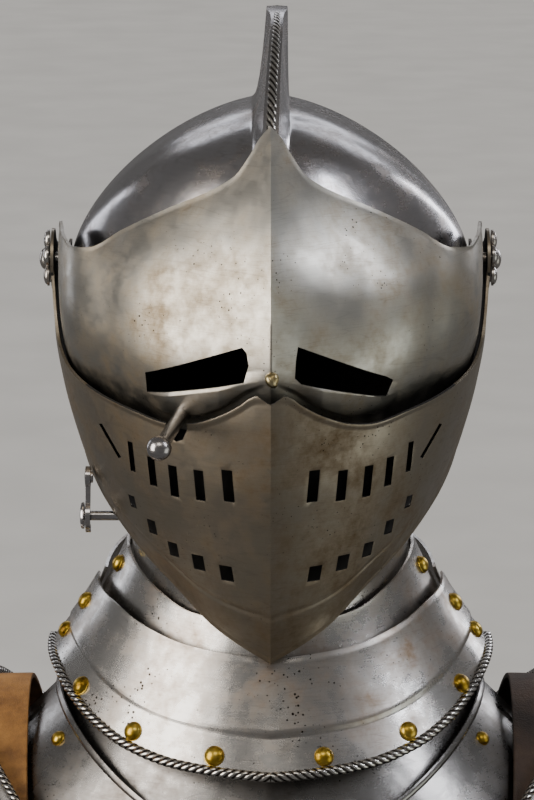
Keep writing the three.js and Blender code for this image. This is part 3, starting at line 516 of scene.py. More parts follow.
def add_eyes(plate, radius, outer):
    """The flat eyes of a helmet plate, where the pivots go through."""
    parts = [plate]
    for side in (-1, 1):
        deselect()
        x = side * (outer - WALL / 2)
        bpy.ops.mesh.primitive_cylinder_add(
            vertices=64, radius=radius * MM, depth=WALL * MM,
            location=Vector((x, 0, PIVOT_UP)) * MM, rotation=(0, math.pi / 2, 0))
        parts.append(settle(bpy.context.object))
    joined(parts, plate.name)


# %% [markdown]
# ## The skull and its comb
# The skull is one sheet, raised from the inside until a hollow comb stands up along the middle. Its
# flanks fall in a hollow curve, and the crest broadens at the top. The grid keeps a row of points along
# each corner of the crest so that the corner stays crisp. The comb leans to the wearer's left, as in the
# photograph. Its top then crosses the visor's inner face while the visor swings from 43 to 94 degrees.

# %% Skull
SKULL_HALF = 98
COMB_RADIUS = 124
COMB_FOOT = 10
COMB_HALF = 3.4
SKULL_BOTTOM = -124
skull_radius = through((20, 103), (39, 101), (60, 89), (90, 79), (120, 86.5), (150, 100), (180, 108))
skull_half = through((-125, 68), (-110, 71.5), (-90, 78.5), (-60, 88.5), (-30, 95), (0, SKULL_HALF))
skull_back = through((-125, 80), (-90, 88), (-50, 101), (0, 108))
comb_run = through((24, 0), (34, 1), (150, 1), (180, 0))
crest_half = through((40, 3.7), (60, 3.1), (77, 2.9), (82, 3.4), (87, 5.2), (97, 4.8), (106, 3.3), (130, 3.2))
comb_lean = through((38, 0), (84, 3.2), (110, 3.2), (165, 0))


def rounded(s):
    return max(0.0, 1 - abs(s) ** 1.6) ** 0.622


def comb_side(x):
    return clamp((COMB_FOOT - abs(x)) / (COMB_FOOT - COMB_HALF)) ** 2.6


def crest_x(x, angle):
    """Moves a column so that the crest has its own half width at this angle."""
    half = crest_half(angle)
    if abs(x) >= COMB_FOOT:
        return x
    if abs(x) <= COMB_HALF:
        return x * half / COMB_HALF
    share = (abs(x) - COMB_HALF) / (COMB_FOOT - COMB_HALF)
    return math.copysign(mix(half, COMB_FOOT, share), x)


def skull_at(x, v):
    if v <= 1:
        angle = mix(20, 180, v)
        bare = skull_radius(angle)
        rise = (COMB_RADIUS - bare) * comb_side(x) * comb_run(angle)
        lean = comb_lean(angle) * comb_side(x) ** 0.5
        return head_polar(crest_x(x, angle) + lean, angle, bare * rounded(x / SKULL_HALF) + rise)
    up = SKULL_BOTTOM * (v - 1)
    s = x / SKULL_HALF
    return head(s * skull_half(up), -skull_back(up) * rounded(s), up)


skull_columns = mirrored(finer([0, COMB_HALF], 3) + finer([COMB_HALF, 5, COMB_FOOT], 5)[1:]
                         + finer([COMB_FOOT, 20, 33, 48, 62, 75, 86, 93.5, 97.3], 5)[1:])
skull = lay_plate("skull_polished", skull_columns, steps(110) + steps(24, 1, 2)[1:], skull_at, head(0, 0, 0))
finish_piece(skull, skull_steel, "harness", ["skull"])
HELMET_HEART = head(0, 10, -20)


def inside(point, normal):
    """True on the face of a helmet plate that looks towards the wearer."""
    return normal.dot(point - HELMET_HEART) < 0


blacken(skull, inside)

# %% [markdown]
# ## Roped edges
# A roped edge is a rim turned over a wire and then filed with slanting nicks, so that it looks like
# cord. Each one here is a round bar along the edge whose radius dips where the file went, turned a
# little further at every section so that the nicks slant.

# %% Roped bar


def rope(name, path, radius, pitch, slant=2.0, taper=1.0, sides=20, per_nick=8):
    """A filed bar along a path of points in millimetres."""
    lengths = [0.0]
    for a, b in zip(path, path[1:]):
        lengths.append(lengths[-1] + (b - a).length)
    total = lengths[-1]
    count = max(8, int(total / pitch * per_nick))
    centres = []
    k = 0
    for i in range(count + 1):
        s = total * i / count
        while k < len(path) - 2 and s > lengths[k + 1]:
            k += 1
        centres.append((path[k].lerp(path[k + 1], (s - lengths[k]) / (lengths[k + 1] - lengths[k])), s))
    verts, faces, ridges = [], [], []
    up = Vector((0.13, 0.31, 0.94))
    for i, (centre, s) in enumerate(centres):
        ahead = centres[min(i + 1, count)][0] - centres[max(i - 1, 0)][0]
        side = ahead.cross(up).normalized()
        up = side.cross(ahead).normalized()
        for j in range(sides):
            turn = 2 * math.pi * j / sides
            wave = abs(math.sin(math.pi * s / pitch + slant * turn))
            r = radius * mix(1, taper, s / total) * (0.72 + 0.28 * wave**0.6)
            ridges.append(wave)
            verts.append((centre + side * (r * math.cos(turn)) + up * (r * math.sin(turn))) * MM)
    for i in range(count):
        for j in range(sides):
            a, b = i * sides + j, i * sides + (j + 1) % sides
            faces.append([a, b, b + sides, a + sides])
    faces.append(list(range(sides)))
    faces.append([count * sides + j for j in reversed(range(sides))])
    mesh = bpy.data.meshes.new(name)
    mesh.from_pydata(verts, [], faces)
    mesh.attributes.new("ridge", "FLOAT", "POINT").data.foreach_set("value", ridges)
    bar = linked(name, mesh)
    faces_out(bar)
    print(name, round(total), "mm long,", len(verts), "points")
    return bar


ROPE_SINK = 1.7
for name, first, last in (("comb_rope_front", 36, 82), ("comb_rope_rear", 103, 146)):
    crest_path = [head_polar(comb_lean(angle), angle, COMB_RADIUS - ROPE_SINK)
                  for angle in steps(60, first, last)]
    finish_piece(rope(name, crest_path, 3.0, 4.0, -3, 0.78), rope_steel, "harness", angle=60)

# %% [markdown]
# ## The bevor
# The bevor wraps the chin and throat. Most of it lies behind the ventail, and its lower part narrows to
# the neck, where the front lames hang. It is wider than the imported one, so that it shows as a thin line
# behind the ventail, and at rest it stands 1 to 1.5 mm into the visor on both sides.

# %% Bevor
BEVOR_HALF = 100.4
bevor_half = through((-174, 68), (-150, 68.5), (-139, 69.8), (-120, 74), (-90, 84), (-60, 95), (-30, 100.4),
                     (0, BEVOR_HALF))
bevor_front = through((-174, 79), (-156, 80.5), (-125, 94), (-95, 110), (-55, 115), (0, 104))
bevor_top = through((0, -62), (30, -62), (60, -52), (76, -30), (86, 0), (97, 8))


def bevor_at(angle, v):
    up = mix(bevor_top(abs(angle)), -174, v)
    turn = angle
    if abs(angle) > 84:
        turn = mix(angle, math.copysign(mix(84, 86, abs(angle) / 97), angle), v)
    left, forward = plan(turn, bevor_half(up), bevor_front(up), 98, 0.3)
    return head(left, forward, up)


ventail_low = through((0, -180), (25, -163), (40, -146), (55, -130), (72, -108), (97, -84))
bevor = lay_plate("bevor_polished", mirrored(finer([0, 12, 24, 36, 48, 60, 69, 77, 84, 90, 97], 5)),
                  steps(42), bevor_at, head(0, 0, -70))
finish_piece(bevor, lame_steel, "chin_guard", ["bevor"])


def bevor_scale_and_painted_shade(point, normal):
    """True on the bevor's inner face, which takes forge scale, and outside where the lowered ventail hides
    it, which takes painted shade.
    """
    low = ventail_low(abs(math.degrees(math.atan2(point.x, -point.y))))
    return inside(point, normal) or point.y < 0 and point.z - PIVOT_UP > low + 10


# The black on the bevor's outer face behind the ventail is painted shade, which keeps the breaths dark. It
# shows as a black area when the ventail is raised.
blacken(bevor, bevor_scale_and_painted_shade)

# %% [markdown]
# ## The visor
# The visor comes to a sharp keel between the eyes. Under each sight the armourer pushed the metal out
# into a shelf shaped like half an almond. Its lip runs down from the nose, round below the sight and up
# to its outer corner. The shelf is part of the plate's surface, so it is worked into the grid and not
# stuck on.

# %% Visor
VISOR_HALF = 103.8
EYE_RADIUS = 15
KEEL_REACH = 42
LEDGE_RISE = 4.6
visor_radius = through((-40, 130), (-18, 133), (0, 124), (20, 113), (37, 109))
visor_keel = through((-27, 6), (-15, 10), (0, 14), (20, 19.5), (37, 23.5))
visor_top = through((0, 37), (5, 35.5), (9, 33), (17, 29), (45, 25), (70, 20), (86, 14.5), (95, 16),
                    (100, 26), (103.3, 60))
visor_low = through((0, -27), (40, -31), (60, -37), (80, -46), (95, -64), (103.3, -90))
# The almond under a sight: its upper edge along the sight and its lip, as heights at a distance from
# the keel.
almond_top = through((2, -32), (12, -34.2), (57, -45), (59.5, -45.6))
almond_lip = through((2, -32.4), (11.5, -37.4), (21.6, -44.8), (36, -51), (48, -51.6), (55.4, -49.6),
                     (59.5, -46))


def ledge(x, up):
    x = abs(x)
    if x < 2 or x > 59.5:
        return 0.0
    top, lip = almond_top(x), almond_lip(x)
    depth = top - lip
    share = (top - up) / max(depth, 0.5)
    height = LEDGE_RISE * clamp(depth / 9) ** 1.2
    if share <= 0:
        return height * clamp(1 - (up - top) / 5)
    if share <= 1:
        return height * (1 - 0.15 * share)
    return 0.85 * height * math.exp(-(((lip - up) / 1.6) ** 2))


def visor_at(x, v):
    angle = mix(visor_top(abs(x)), visor_low(abs(x)), v)
    s = abs(x) / VISOR_HALF
    side = clamp((s - 0.7) / 0.3)
    side = side * side * (3 - 2 * side)
    hug = clamp((angle + 5) / 34) * (1 - side)
    round_share = mix(max(0.0, 1 - s * s) ** (0.5 - 0.13 * side), rounded(s), hug * hug)
    keel = visor_keel(angle) * clamp(1 - abs(x) / KEEL_REACH) ** 2
    radius = visor_radius(angle) * round_share + keel
    return head_polar(x, angle, radius + ledge(x, radius * math.sin(rad(angle))))


# The two sights were filed by hand and are not quite a pair.
SIGHT_RIGHT = [(-58.3, -35.2), (-13, -17.8), (-11, -20), (-10, -26), (-12.3, -34), (-30, -38.4), (-57.6, -45)]
SIGHT_LEFT = [(12.4, -17.4), (11.4, -24), (11, -32), (14, -34.8), (53.6, -46), (57, -38.8), (53.4, -36.2)]


def mirror_outline(outline):
    return [(-x, up) for x, up in reversed(outline)]


visor_columns = mirrored(steps(82, 0, 62) + finer([62, 69, 80, 89, 96, 100.8, 103.2], 6)[1:])
visor_rows = steps(60, 0, 0.62) + steps(100, 0.62, 1)[1:]
visor = lay_plate("visor_ground", visor_columns, visor_rows, visor_at, head(0, 0, 0),
                  lift=lambda x, v: bead(v, 0.012, 0.3))
cut_with(visor, joined([block(SIGHT_RIGHT, -190, -60), block(SIGHT_LEFT, -190, -60)], "sights"), folds=True)
wear_edges(visor)
add_eyes(visor, EYE_RADIUS, VISOR_HALF)
finish_piece(visor, visor_steel, "brow_guard", ["visor"])
blacken(visor, inside)

# %% Nub
# A worn brass lump closes the keel between the sights, where the visor is lifted off the ventail's rim.
deselect()
bpy.ops.mesh.primitive_uv_sphere_add(segments=40, ring_count=20, radius=3.5 * MM,
                                     location=head(0.6, 139.6, -31.4) * MM)
nub = bpy.context.object
nub.name = nub.data.name = "visor_nub"
nub.scale = (0.95, 0.9, 1.05)
settle(nub)
for vertex in nub.data.vertices:
    worn = 0.35 * math.sin(900 * vertex.co.x + 700 * vertex.co.z) * MM
    vertex.co += vertex.normal * worn
finish_piece(nub, worn_brass, "brow_guard", angle=60)

# %% [markdown]
# ## The ventail
# The ventail guards the face below the eyes. It has a turned rim, a notch for the lifting peg, rows of
# upright slots and small squares to breathe through, and it turns under towards the throat along a
# faint crease, down to a point like a ship's prow.

# %% Ventail
VENTAIL_HALF = 107.6
UNDER_FROM = 0.8
ventail_half = through((-184, 58), (-140, 74.5), (-113, 85.5), (-83, 96), (-58, 102.5), (-34, 106.3),
                       (0, VENTAIL_HALF))
ventail_front = through((-184, 97), (-170, 106), (-152, 116), (-110, 131), (-75, 141), (-38, 146), (0, 135))
ventail_top = through((0, -37.5), (4, -38), (7.5, -42.8), (14, -49.8), (21, -54.5), (27.5, -56), (38, -53.3),
                      (52, -49.6), (67, -44), (76, -34), (83, -8), (90, 8), (97, 8))
SLOTS = [(-21.5, -16.5, -91, -75), (-34.5, -30, -92.5, -77), (-46.5, -42.5, -93, -77),
         (-56.5, -53, -90, -75), (-66, -63.5, -85.5, -70)]
SQUARES = [(-23, -17, -133, -125), (-36, -30.5, -130, -122), (-47.5, -43, -126, -118.5),
           (-57.5, -53.5, -117, -109.5), (-66.5, -63.5, -106, -99.5)]
SLIT = [(-81.5, -66.5), (-80, -65.5), (-70.5, -80), (-72, -81)]
NOTCH = [(-48.5, -40), (-48.5, -58), (-46.5, -63), (-43.5, -64.5), (-40.5, -63), (-38.5, -58), (-38.5, -40)]
CENTRE_NOTCH = [(-10, -32), (-6, -37.8), (-1.5, -41), (0, -41.5), (1.5, -41), (6, -37.8), (10, -32)]


def ventail_at(angle, v):
    up = mix(ventail_top(abs(angle)), ventail_low(abs(angle)), v)
    left, forward = plan(angle, ventail_half(up), ventail_front(up), 104, 0.42)
    return head(left, forward, up)


def ventail_lift(angle, v):
    front = clamp((70 - abs(angle)) / 30)
    under = -2.4 * clamp((v - UNDER_FROM) / (1 - UNDER_FROM)) ** 1.4 * front
    crease = -0.35 * math.exp(-(((v - UNDER_FROM) / 0.012) ** 2)) * front
    return bead(v, 0.02, 0.6) + under + crease + bead(1 - v, 0.02, 0.4)


ventail = lay_plate("ventail_ground",
                    mirrored(finer([0, 4, 12, 21, 30, 39, 48, 57, 65, 72, 78, 83, 89, 97], 5)),
                    finer([0, 0.04], 5) + finer([0.04, 0.76, 0.84, 1], 28)[1:],
                    ventail_at, head(0, 0, -80), lift=ventail_lift)
BREATH_LEAN = -1.2
slanted = [[(x0, low), (x1, low), (x1 + BREATH_LEAN, high), (x0 + BREATH_LEAN, high)]
           for x0, x1, low, high in SLOTS + SQUARES]
outlines = slanted + [mirror_outline(outline) for outline in slanted] + [SLIT, mirror_outline(SLIT)]
breaths = [block(outline, -170, -20) for outline in outlines]
breaths += [block(NOTCH, -170, -60), block(CENTRE_NOTCH, -170, -100)]
cut_with(ventail, joined(breaths, "breaths"))
wear_edges(ventail)
add_eyes(ventail, EYE_RADIUS, VENTAIL_HALF)
finish_piece(ventail, ventail_steel_brown_and_painted_shade, "face_guard", ["ventail"])
blacken(ventail, inside)

# %% [markdown]
# ## Turned pieces
# Pins, pegs and rivets are all turned or stamped round. Each starts as a short profile that is spun
# about its axis, its doubled points are merged, and it is then turned to face the way it sits.

# %% Spinning a profile


def facing(point, direction):
    """The place and turn of a piece that stands on a point and points along a direction."""
    turn = Vector(direction).normalized().to_track_quat("Z", "Y").to_matrix().to_4x4()
    return Matrix.Translation(Vector(point) * MM) @ turn


def spun(name, profile, place, segments=32):
    """profile is a list of (radius, height) in millimetres, from the axis and back to it."""
    mesh = bpy.data.meshes.new(name)
    points = [(r * MM, 0, z * MM) for r, z in profile]
    mesh.from_pydata(points, [(i, i + 1) for i in range(len(points) - 1)], [])
    piece = linked(name, mesh)
    edit_all(piece, (bpy.ops.mesh.spin, {"steps": segments, "angle": 2 * math.pi, "center": (0, 0, 0),
                                         "axis": (0, 0, 1)}))
    faces_out(piece)
    piece.matrix_world = place
    return settle(piece)


def dome(radius, height, rows=6):
    return [(radius * math.cos(rad(a)), height * math.sin(rad(a))) for a in steps(rows, 0, 90)]


PEG_FROM = head(-40.5, 111.4, -52.8)
PEG_TO = head(-50.2, 156.5, -59)
PEG_LONG = (PEG_TO - PEG_FROM).length
BALL = 5.7
ball = [(BALL * math.sin(rad(a)), PEG_LONG - BALL * math.cos(rad(a))) for a in steps(9, 38, 180)]
peg = spun("visor_peg_turned", [(0, 0), (4, 0), (3.6, 3), (3.3, 10), (3.2, PEG_LONG - 6)] + ball,
           facing(PEG_FROM, PEG_TO - PEG_FROM))
finish_piece(peg, skull_steel, "brow_guard", ["visor_peg"])

# %% Pivots with their rosettes
ROSETTE_X = VENTAIL_HALF + 1.3
for side, sign in SIDES:
    parts = [spun("pin", [(0, -17.4), (6.5, -17.4), (6.5, -15.4), (3.2, -15.4), (3.2, 0), (8, 0), (8, 0.8),
                          (6.6, 1.4), (6, 2)] + [(r, z + 2) for r, z in dome(5.4, 3)],
                  facing((sign * ROSETTE_X, 0, PIVOT_UP), (sign, 0, 0)), 40)]
    for k in range(5):
        turn = rad(72 * k + 17)
        spot = (sign * ROSETTE_X, 9.2 * math.cos(turn), PIVOT_UP + 9.2 * math.sin(turn))
        petal = [(0, -0.2), (5.2, -0.2), (5.2, 0.8)] + [(r, z + 0.8) for r, z in dome(4.6, 2)]
        parts.append(spun("petal", petal, facing(spot, (sign, 0, 0)), 24))
    pivot = joined(parts, f"pivot_{side}_rosette")
    finish_piece(pivot, lame_steel, "harness", [f"pivot_{side}"])

# %% Lock stud
STUD = head(-67.8, 42, -120)
stud = spun("lock_stud_turned", [(0, 0), (3, 0), (2.4, 2), (2.4, 22.4), (4, 22.8), (6.4, 23.2), (6.6, 23.8),
                                 (6.2, 24.6), (4, 25.1), (0, 25.4)], facing(STUD, (-1, 0, 0)))
finish_piece(stud, skull_steel, "chin_guard", ["lock_stud"])


# %% [markdown]
# ## Hooks and straps
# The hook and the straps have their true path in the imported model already. A copy of the node is merged
# into one skin, its edges are bevelled and a subdivision takes the kinks out of the bends.

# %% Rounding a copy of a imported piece


def eased_copy(node, name, bevel, levels=2, crease_angle=50):
    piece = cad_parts[node].copy()
    piece.data = piece.data.copy()
    piece.name = piece.data.name = name
    piece.parent = None
    bpy.context.scene.collection.objects.link(piece)
    quads = {"face_threshold": rad(40), "shape_threshold": rad(60)}
    edit_all(piece, MERGE, (bpy.ops.mesh.tris_convert_to_quads, quads))
    for key in [k for k in piece.keys() if k.startswith("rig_")]:
        del piece[key]
    apply_modifier(piece, "BEVEL", width=bevel * MM, segments=2, limit_method="ANGLE",
                   angle_limit=rad(crease_angle))
    apply_modifier(piece, "SUBSURF", levels=levels, render_levels=levels)
    return piece


hook = eased_copy("lock_hook", "lock_hook_filed", 0.5)
finish_piece(hook, skull_steel, "hook", ["lock_hook"], angle=50)

# %% [markdown]
# ## Neck lames
# Two flared bands hang in front and two behind, and slide over each other as the head turns. The lowest
# one ends in a roped rim with a sunk border inside it, and that border is where the brass-capped rivets
# sit.

# %% Neck lames


def lame_surface(top, low, half, front, keel):
    def at(angle, v):
        flare = v**1.15
        left, forward = plan(angle, mix(half[0], half[1], flare), mix(front[0], front[1], flare), 100, keel)
        return head(left, forward, mix(top(abs(angle)), low(abs(angle)), v))
    return at


def rear_lame_surface(top, low, half, back):
    def at(angle, v):
        a = (abs(angle) / REAR_END) ** 2
        flare = v**1.15
        left, forward = plan(angle, mix(half[0], half[1], flare), mix(back[0], back[1], flare), 60, 0)
        return head(left, -forward, mix(mix(top[0], top[1], a), mix(low[0], low[1], a), v))
    return at


REAR_END = 88.5
FRONT_END = 93
STEP_AT = 0.66
STEP_RISE = 0.9
front_upper_at = lame_surface(
    through((0, -165), (33, -162), (54, -154), (75, -146), (93, -141)),
    through((0, -198), (60, -188), (93, -176)), (72, 89), (82.1, 91), 0.25)
front_lower_at = lame_surface(
    through((0, -178), (27, -175), (48, -169), (63, -164), (93, -161)),
    through((0, -229), (24, -227), (39, -222.5), (52, -215), (64, -206.5), (75, -199.5), (93, -195)),
    (86.5, 110), (91.5, 116), 0.2)
rear_upper_at = rear_lame_surface((-108, -137), (-158, -160), (68.6, 76), (86.5, 96))
rear_lower_at = rear_lame_surface((-146, -158), (-196, -194), (83.4, 101.4), (98.5, 122))


def border_step(angle, v):
    """The field stands a little proud of the border, and the top edge is thinned."""
    field = STEP_RISE * clamp((STEP_AT + 0.02 - v) / 0.04)
    return field - 0.5 * clamp(1 - v / 0.05)


for name, surface, body, lift, end in (
    ("front_neck_lame_upper", front_upper_at, "chin_guard", None, FRONT_END),
    ("front_neck_lame_lower", front_lower_at, "chin_guard", border_step, FRONT_END),
    ("rear_neck_lame_upper", rear_upper_at, "harness", None, REAR_END),
    ("rear_neck_lame_lower", rear_lower_at, "harness", None, REAR_END),
):
    lame = lay_plate(name + "_polished", mirrored(steps(48, 0, end)),
                     finer([0, 0.1, 0.4, 0.64, 0.7, 0.88, 1], 7), surface, head(0, 0, -170), lift=lift)
    finish_piece(lame, lame_steel, body, [name])

# %% Roped rims of the lowest lames
# The nicks lean outwards from the middle on both sides, as a twist does that starts at the centre.
for side, sign in SIDES:
    front_rim = rope(f"front_lame_rope_{side}",
                     [front_lower_at(sign * a, 1) for a in steps(80, 0, FRONT_END)], 2.6, 3.9, 2.0 * sign)
    finish_piece(front_rim, rope_steel, "chin_guard", angle=60)
    rear_rim = rope(f"rear_lame_rope_{side}", [rear_lower_at(sign * a, 1) for a in steps(80, 0, REAR_END)],
                    2.2, 3.9, -2.0 * sign)
    finish_piece(rear_rim, rope_steel, "harness", angle=60)

# %% [markdown]
# ## Gorget
# The gorget is two collars and two yoke plates, front and rear, that rest on the shoulders. Its main
# plate has a turned neck edge, and one oval keyhole a side takes the stud of a pauldron.

# %% Gorget
HOLE_X = 119
HOLE_Y = -16


def gorget_surface(top, low, rear, dish, keel):
    """top and low are (half, reach, height in the middle, height at the side)."""
    def at(angle, v):
        sideways = (1 - math.cos(math.pi * min(1, abs(angle) / 90))) / 2
        outwards = 1 - (1 - v) ** dish
        left, forward = plan(angle, mix(top[0], low[0], outwards), mix(top[1], low[1], outwards), 60, keel)
        height = mix(mix(top[2], top[3], sideways), mix(low[2], low[3], sideways), v)
        return Vector((left, forward if rear else -forward, height))
    return at


collar_front_at = gorget_surface((80, 82, 2, 14), (122.8, 124, -72, -34), False, 0.8, 0.3)
collar_rear_at = gorget_surface((77.5, 81.5, 14, 14), (119.8, 115.6, -38, -34), True, 0.8, 0)
yoke_front_at = gorget_surface((105.5, 121, -58, -10), (152, 138, -114, -66), False, 1.25, 0.12)
yoke_rear_at = gorget_surface((103.5, 112.4, -13.4, -11.4), (150.1, 132.4, -99.4, -67.4), True, 1.25, 0)
gorget_columns = mirrored(finer([0, 5], 3) + steps(44, 5, 92)[1:])
for name, surface, rim in (("collar_front", collar_front_at, 1.6), ("collar_rear", collar_rear_at, 0),
                           ("gorget_front", yoke_front_at, 1.8), ("gorget_rear", yoke_rear_at, 0)):
    plate = lay_plate(name + "_polished", gorget_columns, finer([0, 0.08, 0.3, 0.55, 0.8, 1], 8), surface,
                      (0, 0, -160), lift=lambda angle, v, rim=rim: bead(v, 0.05, rim))
    if name == "gorget_front":
        for side in (-1, 1):
            deselect()
            bpy.ops.mesh.primitive_cylinder_add(vertices=48, radius=3.4 * MM, depth=0.1,
                                                location=(side * HOLE_X * MM, HOLE_Y * MM, -10 * MM))
            hole = bpy.context.object
            hole.scale.x = 1.7
            cut_with(plate, settle(hole))
    finish_piece(plate, plate_steel_painted_shade, "harness", [name])

# %% [markdown]
# ## Cuirass
# Breastplate and backplate follow the trunk, and the breast has a slight keel. Their neck and arm edges
# are rolled outwards over a wire, which keeps a blade from sliding in. Below the waist the fauld and
# culet are hoops, each standing outside the one above.

# %% Breastplate and backplate
WAIST = -396
BREAST_KEEL = 0.14
torso_half = through((-402, 134), (-392, 131), (-300, 149), (-190, 160), (-120, 152), (-80, 140))
torso_front = through((-402, 138), (-385, 134), (-300, 152), (-200, 148), (-120, 126), (-80, 108))
torso_back = through((-402, 102), (-385, 98), (-300, 106), (-190, 120), (-120, 112), (-80, 96))
breast_top = through((0, -98), (22, -94), (36, -86), (50, -84), (58, -100), (67, -150), (76, -184),
                     (96, -198))
back_top = through((0, -90), (22, -86), (36, -80), (50, -80), (58, -98), (67, -148), (76, -182), (92, -198))


def trunk(angle, z, rear, inset=0):
    half, front, back = torso_half(z) - inset, torso_front(z) - inset, torso_back(z) - inset
    if rear:
        left, forward = plan(angle, half, back, front, 0.04)
    else:
        left, forward = plan(angle, half, front, back, BREAST_KEEL)
    return Vector((left, TORSO_Y - (-forward if rear else forward), z))


for name, rear, top, last, inset in (("breastplate", False, breast_top, 95, 0),
                                     ("backplate", True, back_top, 92, 3.4)):
    plate = lay_plate(
        name + "_polished", mirrored(finer([0, 6, 18, 30, 40, 49, 57, 66, 76, 85, last], 5)),
        finer([0, 0.04], 6) + finer([0.04, 0.18, 0.4, 0.6, 0.8, 1], 10)[1:],
        lambda angle, v, rear=rear, top=top, inset=inset:
            trunk(angle, mix(top(abs(angle)), WAIST, v), rear, inset),
        (0, TORSO_Y, -250), THICK_WALL,
        lambda angle, v: bead(v, 0.035, 3) * clamp((84 - abs(angle)) / 6))
    finish_piece(plate, plate_steel_painted_shade, "harness", [name])

# %% Fauld and culet
HIP_HALF = 134
HIP_FRONT = 138
HIP_BACK = 102


def hip(angle, z, out, rear=False, keel=BREAST_KEEL):
    reach = HIP_BACK if rear else HIP_FRONT
    left, forward = plan(angle, HIP_HALF + out, reach + out, 110, 0.04 if rear else keel)
    return Vector((left, TORSO_Y - (-forward if rear else forward), z))


for name, rear, top, low, grow in (("fauld_upper", False, -386, -432, (2.6, 18)),
                                   ("fauld_lower", False, -424, -470, (20.1, 36)),
                                   ("culet_upper", True, -388, -432, (1.3, 18)),
                                   ("culet_lower", True, -424, -472, (20.1, 36))):
    hoop = lay_plate(
        name + "_polished", mirrored(finer([0, 6], 4) + steps(44, 6, 86 if rear else 90.5)[1:]),
        finer([0, 0.45, 0.88, 1], 8),
        lambda angle, v, top=top, low=low, grow=grow, rear=rear:
            hip(angle, mix(top, low, v), mix(grow[0], grow[1], v), rear),
        (0, TORSO_Y, -380), THICK_WALL, lambda angle, v: bead(1 - v, 0.12, 1.6))
    finish_piece(hoop, plate_steel_painted_shade, "harness", [name])

# %% [markdown]
# ## Tassets and shoulders
# A tasset and a pauldron are each made once for a side and mirrored for the other, with the lames as
# steps in one plate. The rows of points crowd together at each step so that it stays a clean edge.

# %% Tassets
TASSET_FROM, TASSET_TO, TASSET_MIDDLE = 4, 78, 88
TASSET_TOP, TASSET_LOW = -476, -640
LAME_STEP = 2.2


def lame_rows(count):
    rows = []
    for k in range(count):
        rows += finer([k / count, (k + 0.985) / count], 12)
    return rows + [1.0]


def lame_lift(v, count):
    return LAME_STEP * (v * count - math.floor(min(v * count, count - 1e-6)))


def tasset_at(sign, angle, v):
    middle = (TASSET_FROM + TASSET_TO) / 2
    corner = clamp((abs(angle - middle) / 37 - 0.55) / 0.45) ** 2 * 26
    out = mix(27, 48, v)
    left, forward = plan(angle, HIP_HALF + out, HIP_FRONT + out, 110, 0.1)
    return Vector((sign * mix(left, TASSET_MIDDLE, v * 0.2), TORSO_Y - forward,
                   mix(TASSET_TOP, TASSET_LOW + corner, v)))


for side, sign in SIDES:
    tasset = lay_plate(
        f"tasset_{side}_polished", steps(48, TASSET_FROM, TASSET_TO), lame_rows(3),
        lambda angle, v, sign=sign: tasset_at(sign, angle, v),
        (sign * TASSET_MIDDLE, TORSO_Y, -560), THICK_WALL, lambda angle, v: lame_lift(v, 3))
    finish_piece(tasset, plate_steel_painted_shade, f"thigh_{side}", [f"tasset_{side}"])

# %% Pauldrons and arm lames
ARM_X = 205
shoulder_inner = through((-104, 86), (-90, 86), (-78, 92), (-60, 112), (-38, 136), (-20, 150), (0, 153),
                         (40, 142), (75, 112), (100, 100))
shoulder_reach = through((-104, 146), (-75, 143), (-40, 120), (0, 110), (40, 124), (75, 138), (100, 132))


def pauldron_at(sign, turn, u):
    rise = math.cos(rad(turn))
    inner = Vector((shoulder_inner(turn), TORSO_Y + shoulder_reach(turn) * math.sin(rad(turn)),
                    -122 + 104 * math.copysign(abs(rise) ** 0.8, rise)))
    spread = turn * 1.12
    outer = Vector((ARM_X + 61 * math.cos(rad(spread)), TORSO_Y + 64 * math.sin(rad(spread)), -152))
    across = math.sin(rad(90 * u))
    return Vector((sign * mix(inner.x, outer.x, across), mix(inner.y, outer.y, across),
                   mix(inner.z, outer.z, 1 - math.cos(rad(90 * u)))))


def arm_at(sign, turn, v):
    r = mix(55, 51, v)
    return Vector((sign * (ARM_X + r * math.cos(rad(turn))), TORSO_Y + (r + 2) * math.sin(rad(turn)),
                   mix(-140, -292, v)))


for side, sign in SIDES:
    pauldron = lay_plate(
        f"pauldron_{side}_polished",
        finer([-104, -92, -78, -64, -50, -36, -22, -7, 8, 23, 38, 53, 68, 84, 100], 6),
        finer([0, 0.05], 4) + finer([0.05, 0.18, 0.4, 0.6, 0.8, 1], 8)[1:],
        lambda turn, u, sign=sign: pauldron_at(sign, turn, u), (sign * 160, TORSO_Y, -150), THICK_WALL,
        lambda turn, u: bead(u, 0.03, 1.2))
    finish_piece(pauldron, plate_steel_painted_shade, f"shoulder_{side}", [f"pauldron_{side}"])
    edge = rope(f"pauldron_{side}_rope", [pauldron_at(sign, t, 0) for t in steps(110, -104, 100)], 2.4, 3.9,
                2.0 * sign)
    finish_piece(edge, rope_steel, f"shoulder_{side}", angle=60)
    arm = lay_plate(
        f"arm_lames_{side}_polished", steps(60, -112, 112), lame_rows(3),
        lambda turn, v, sign=sign: arm_at(sign, turn, v), (sign * ARM_X, TORSO_Y, -220), WALL,
        lambda turn, v: lame_lift(v, 3))
    finish_piece(arm, plate_steel_painted_shade, f"arm_{side}", [f"arm_lames_{side}"])

# %% [markdown]
# ## Leather
# The straps keep their packed path. A strap is cut from 3 mm hide and its edges are rubbed round.

# %% Straps
for side, sign in SIDES:
    for kind in ("shoulder_strap", "side_strap", "fauld_strap_inner", "fauld_strap_outer", "pauldron_tab",
                 "tasset_tab_inner", "tasset_tab_outer"):
        node = f"{kind}_{side}"
        body = f"thigh_{side}" if kind.startswith("tasset") else "harness"
        strap = eased_copy(node, node + "_leather", 0.6)
        hide = oiled_leather if node == "shoulder_strap_left" else strap_leather
        finish_piece(strap, hide, body, [node], angle=50)

# %% [markdown]
# ## Rivets
# Every rivet has a domed cap over a thin washer. The cap is spun once for each place and stands square
# to the plate below it, which the plate's own surface gives: two small steps along it, crossed, are its
# normal. The rivets of one body are joined into one piece.

